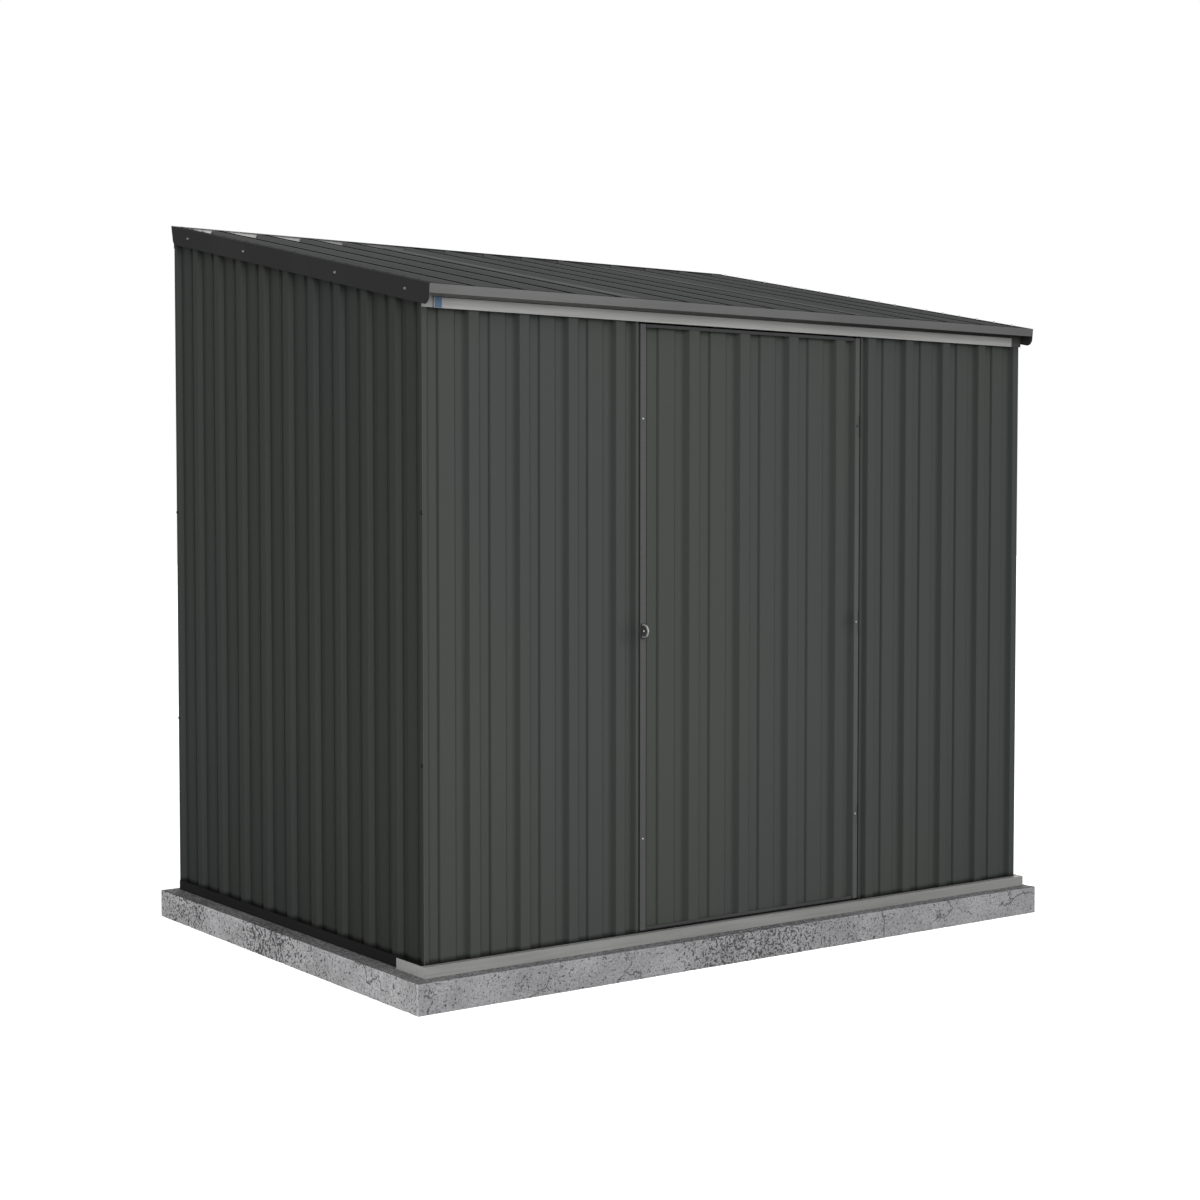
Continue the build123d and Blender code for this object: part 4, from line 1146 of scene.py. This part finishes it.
class SHED_OT_fixings(Operator):
    """Set the screws and rivets of barge caps, corners and door"""

    bl_idname = "shed.fixings"
    bl_label = "Screws and rivets"

    def execute(self, context):
        sizes = settings(context, "fixings")
        walls = settings(context, "sheets")
        rivet = domed_head(sizes, sizes.dome_radius, sizes.dome_height, 0.3 * MM, 14)
        corner = domed_head(sizes, sizes.corner_radius, sizes.corner_height, 0.4 * MM, 16)
        left, front = walls.wall_left, walls.wall_front
        right, back = left + walls.wall_width, front + walls.wall_depth
        base = slab_high.z
        slope = tan(walls.roof_pitch)
        roof_z = base + walls.front_height
        sides = (("left", left, -1), ("right", right, 1))

        # Barge faces: four screws on each side, at mid-height of the face, each hexagon turned differently
        runs = np.array(sizes.barge_runs)
        turns = (0.2, 0.9, 0.5, 0.1)
        for side, x, way in sides:
            face = np.full(len(runs), x + way * sizes.barge_face)
            places = np.column_stack([face, front + runs, roof_z + runs * slope - sizes.barge_drop])
            name = f"{side}_barge_screws"
            set_heads(name, screw_head(sizes), places, (way, 0, 0), "Zinc plate", turns=turns, bend=30.0)

        # Corner screws on the side walls, near every corner
        ends = (front + sizes.corner_inset, back - sizes.corner_inset)
        for side, x, way in sides:
            places = [(x, y, base + level) for y in ends for level in sizes.corner_levels]
            set_heads(f"{side}_corner_screws", corner, places, (way, 0, 0), "Black screw")

        # Door stiles: rivets on both stiles, of which the top one on the hinge side is dark
        latch_low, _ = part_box("door_latch_stile")
        _, hinge_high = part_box("door_hinge_stile")
        latch_x = latch_low.x + sizes.latch_inset
        hinge_x = hinge_high.x - sizes.hinge_inset
        low, middle, high = (base + level for level in sizes.rivet_levels)
        spots = ((latch_x, low), (latch_x, high), (hinge_x, low), (hinge_x, middle))
        places = [(x, latch_low.y, z) for x, z in spots]
        forward = (0, -1, 0)
        set_heads("door_rivets", rivet, places, forward, "Zinc plate", "door")
        set_heads("door_dark_rivet", rivet, [(hinge_x, latch_low.y, high)], forward, "Black screw", "door")

        # Pale end of the latch's pin, and the plain blue patch at the header's end
        plate_low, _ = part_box("latch_plate")
        pin = (plate_low.x + sizes.pin_inset, plate_low.y - sizes.pin_reach, base + sizes.pin_level)
        set_heads("latch_pin_cap", rivet, [pin], forward, "Zinc plate", "door")
        corners = [(left + x, base + z) for x, z in zip(sizes.patch_runs, sizes.patch_levels)]
        points, faces = film_patch(*corners, header_low.y - 0.05 * MM, sizes.patch_film)
        film = bpy.data.materials["Patch film"]
        put_mesh("header_patch", points, faces, film, "shed", bend=50.0)

        # Rivets along the flanges of the barge caps
        lift = (walls.rib_depth + walls.thickness + 1.0 * MM) / cos(walls.roof_pitch)
        y = np.arange(front + sizes.flange_end, back - sizes.flange_end, sizes.flange_spacing)
        tilt = (0, -sin(walls.roof_pitch), cos(walls.roof_pitch))
        rows = (
            ("left", left + sizes.flange_insets[0], "Dark trim coat"),
            ("right", right - sizes.flange_insets[1], "Zinc plate"),
        )
        for side, x, finish in rows:
            places = np.column_stack([np.full(len(y), x), y, roof_z + (y - front) * slope + lift])
            set_heads(f"{side}_flange_rivets", corner, places, tilt, finish)
        return {"FINISHED"}


class SHED_OT_stage(Operator):
    """Set up the floor, the light and the camera"""

    bl_idname = "shed.stage"
    bl_label = "Studio"

    def execute(self, context):
        studio = settings(context, "studio")
        scene = context.scene
        scene.view_settings.view_transform = "Standard"

        camera = bpy.data.objects.new("Camera", bpy.data.cameras.new("Camera"))
        camera.data.sensor_width = 36.0
        camera.data.lens = studio.lens
        camera.location = studio.camera_place
        camera.rotation_euler = (pi / 2 - studio.camera_dip, 0.0, -studio.camera_turn)
        scene.collection.objects.link(camera)
        scene.camera = camera

        for name, strength, towards, spread in (
            ("Key", studio.key, studio.key_way, studio.key_spread),
            ("Back light", studio.rim, studio.rim_way, studio.rim_spread),
        ):
            lamp = bpy.data.lights.new(name, "SUN")
            lamp.energy = strength
            lamp.angle = spread
            holder = bpy.data.objects.new(name, lamp)
            holder.rotation_mode = "QUATERNION"
            holder.rotation_quaternion = Vector(towards).to_track_quat("Z", "Y")
            scene.collection.objects.link(holder)

        world = bpy.data.worlds.new("Studio")
        world.use_nodes = True
        scene.world = world
        tree = world.node_tree
        tree.nodes.clear()
        even, white = (
            place(tree, "ShaderNodeBackground", {"Color": (1, 1, 1, 1), "Strength": strength}).outputs[0]
            for strength in (studio.ambient, 1.0)
        )
        both = place(tree, "ShaderNodeMixShader", {0: seen_directly(tree), 1: even, 2: white})
        place(tree, "ShaderNodeOutputWorld", {0: both.outputs[0]})

        mesh = bpy.data.meshes.new("Floor")
        x, y = np.array([(-1, -1), (1, -1), (1, 1), (-1, 1)]).T * studio.floor_reach
        corners = np.column_stack([x, y, np.full(4, -studio.floor_drop)])
        mesh.from_pydata(corners.tolist(), [], [(0, 1, 2, 3)])
        floor = bpy.data.objects.new("Floor", mesh)
        scene.collection.objects.link(floor)
        mesh.materials.append(floor_paper(studio))
        return {"FINISHED"}


def seen_directly(tree):
    """1 for camera and transmission rays, which show the stage itself.

    Glossy rays are left out, so they meet the even ambient light and not the white background.
    """
    path = place(tree, "ShaderNodeLightPath").outputs
    return reckon(tree, "MAXIMUM", path["Is Camera Ray"], path["Is Transmission Ray"])


def floor_paper(studio):
    """White paper floor that keeps the shadow and is lifted to white where it is seen."""
    material = bpy.data.materials.new("Floor paper")
    material.use_nodes = True
    tree = material.node_tree
    tree.nodes.clear()
    where = place(tree, "ShaderNodeTexCoord").outputs["Object"]
    fibre = ranged(tree, noise(tree, where, 35.0, 3.0), 0.3, 0.7, 0.49, 0.51)
    paper = place(tree, "ShaderNodeBsdfDiffuse", {"Color": grey(tree, fibre)})
    lift = reckon(tree, "MULTIPLY", seen_directly(tree), studio.floor_glow)
    glow = place(tree, "ShaderNodeEmission", {"Color": (1, 1, 1, 1), "Strength": lift})
    both = place(tree, "ShaderNodeAddShader", {0: paper.outputs[0], 1: glow.outputs[0]})
    place(tree, "ShaderNodeOutputMaterial", {0: both.outputs[0]})
    return material


class SHED_PT_panel(Panel):
    """Sizes and colours of the shed, with one button for each group of pieces"""

    bl_idname = "SHED_PT_panel"
    bl_label = "Metal tool shed"
    bl_space_type = "VIEW_3D"
    bl_region_type = "UI"
    bl_category = "Shed"

    def draw(self, context):
        for name in GROUPS:
            box = self.layout.box()
            box.label(text=GROUPS[name].__doc__)
            group = settings(context, name)
            for key in group.bl_rna.properties.keys():
                if key not in ("rna_type", "name"):
                    box.prop(group, key)
        for operator in OPERATORS:
            self.layout.operator(operator.bl_idname)


GROUPS = {
    "sheets": SheetSizes,
    "fixings": FixingSizes,
    "concrete": ConcreteSizes,
    "finishes": Finishes,
    "studio": Studio,
}
OPERATORS = (SHED_OT_finishes, SHED_OT_sheets, SHED_OT_plinth, SHED_OT_fixings, SHED_OT_stage)


def register():
    for group in (*GROUPS.values(), *OPERATORS, SHED_PT_panel):
        bpy.utils.register_class(group)
    for name, group in GROUPS.items():
        setattr(bpy.types.Scene, "shed_" + name, PointerProperty(type=group))


def unregister():
    for name in GROUPS:
        delattr(bpy.types.Scene, "shed_" + name)
    for group in (SHED_PT_panel, *reversed(OPERATORS), *reversed(GROUPS.values())):
        bpy.utils.unregister_class(group)


def main():
    """Register, and make every piece in order."""
    register()
    for operator in OPERATORS:
        family, name = operator.bl_idname.split(".")
        getattr(getattr(bpy.ops, family), name)()


if __name__ == "__main__":
    main()
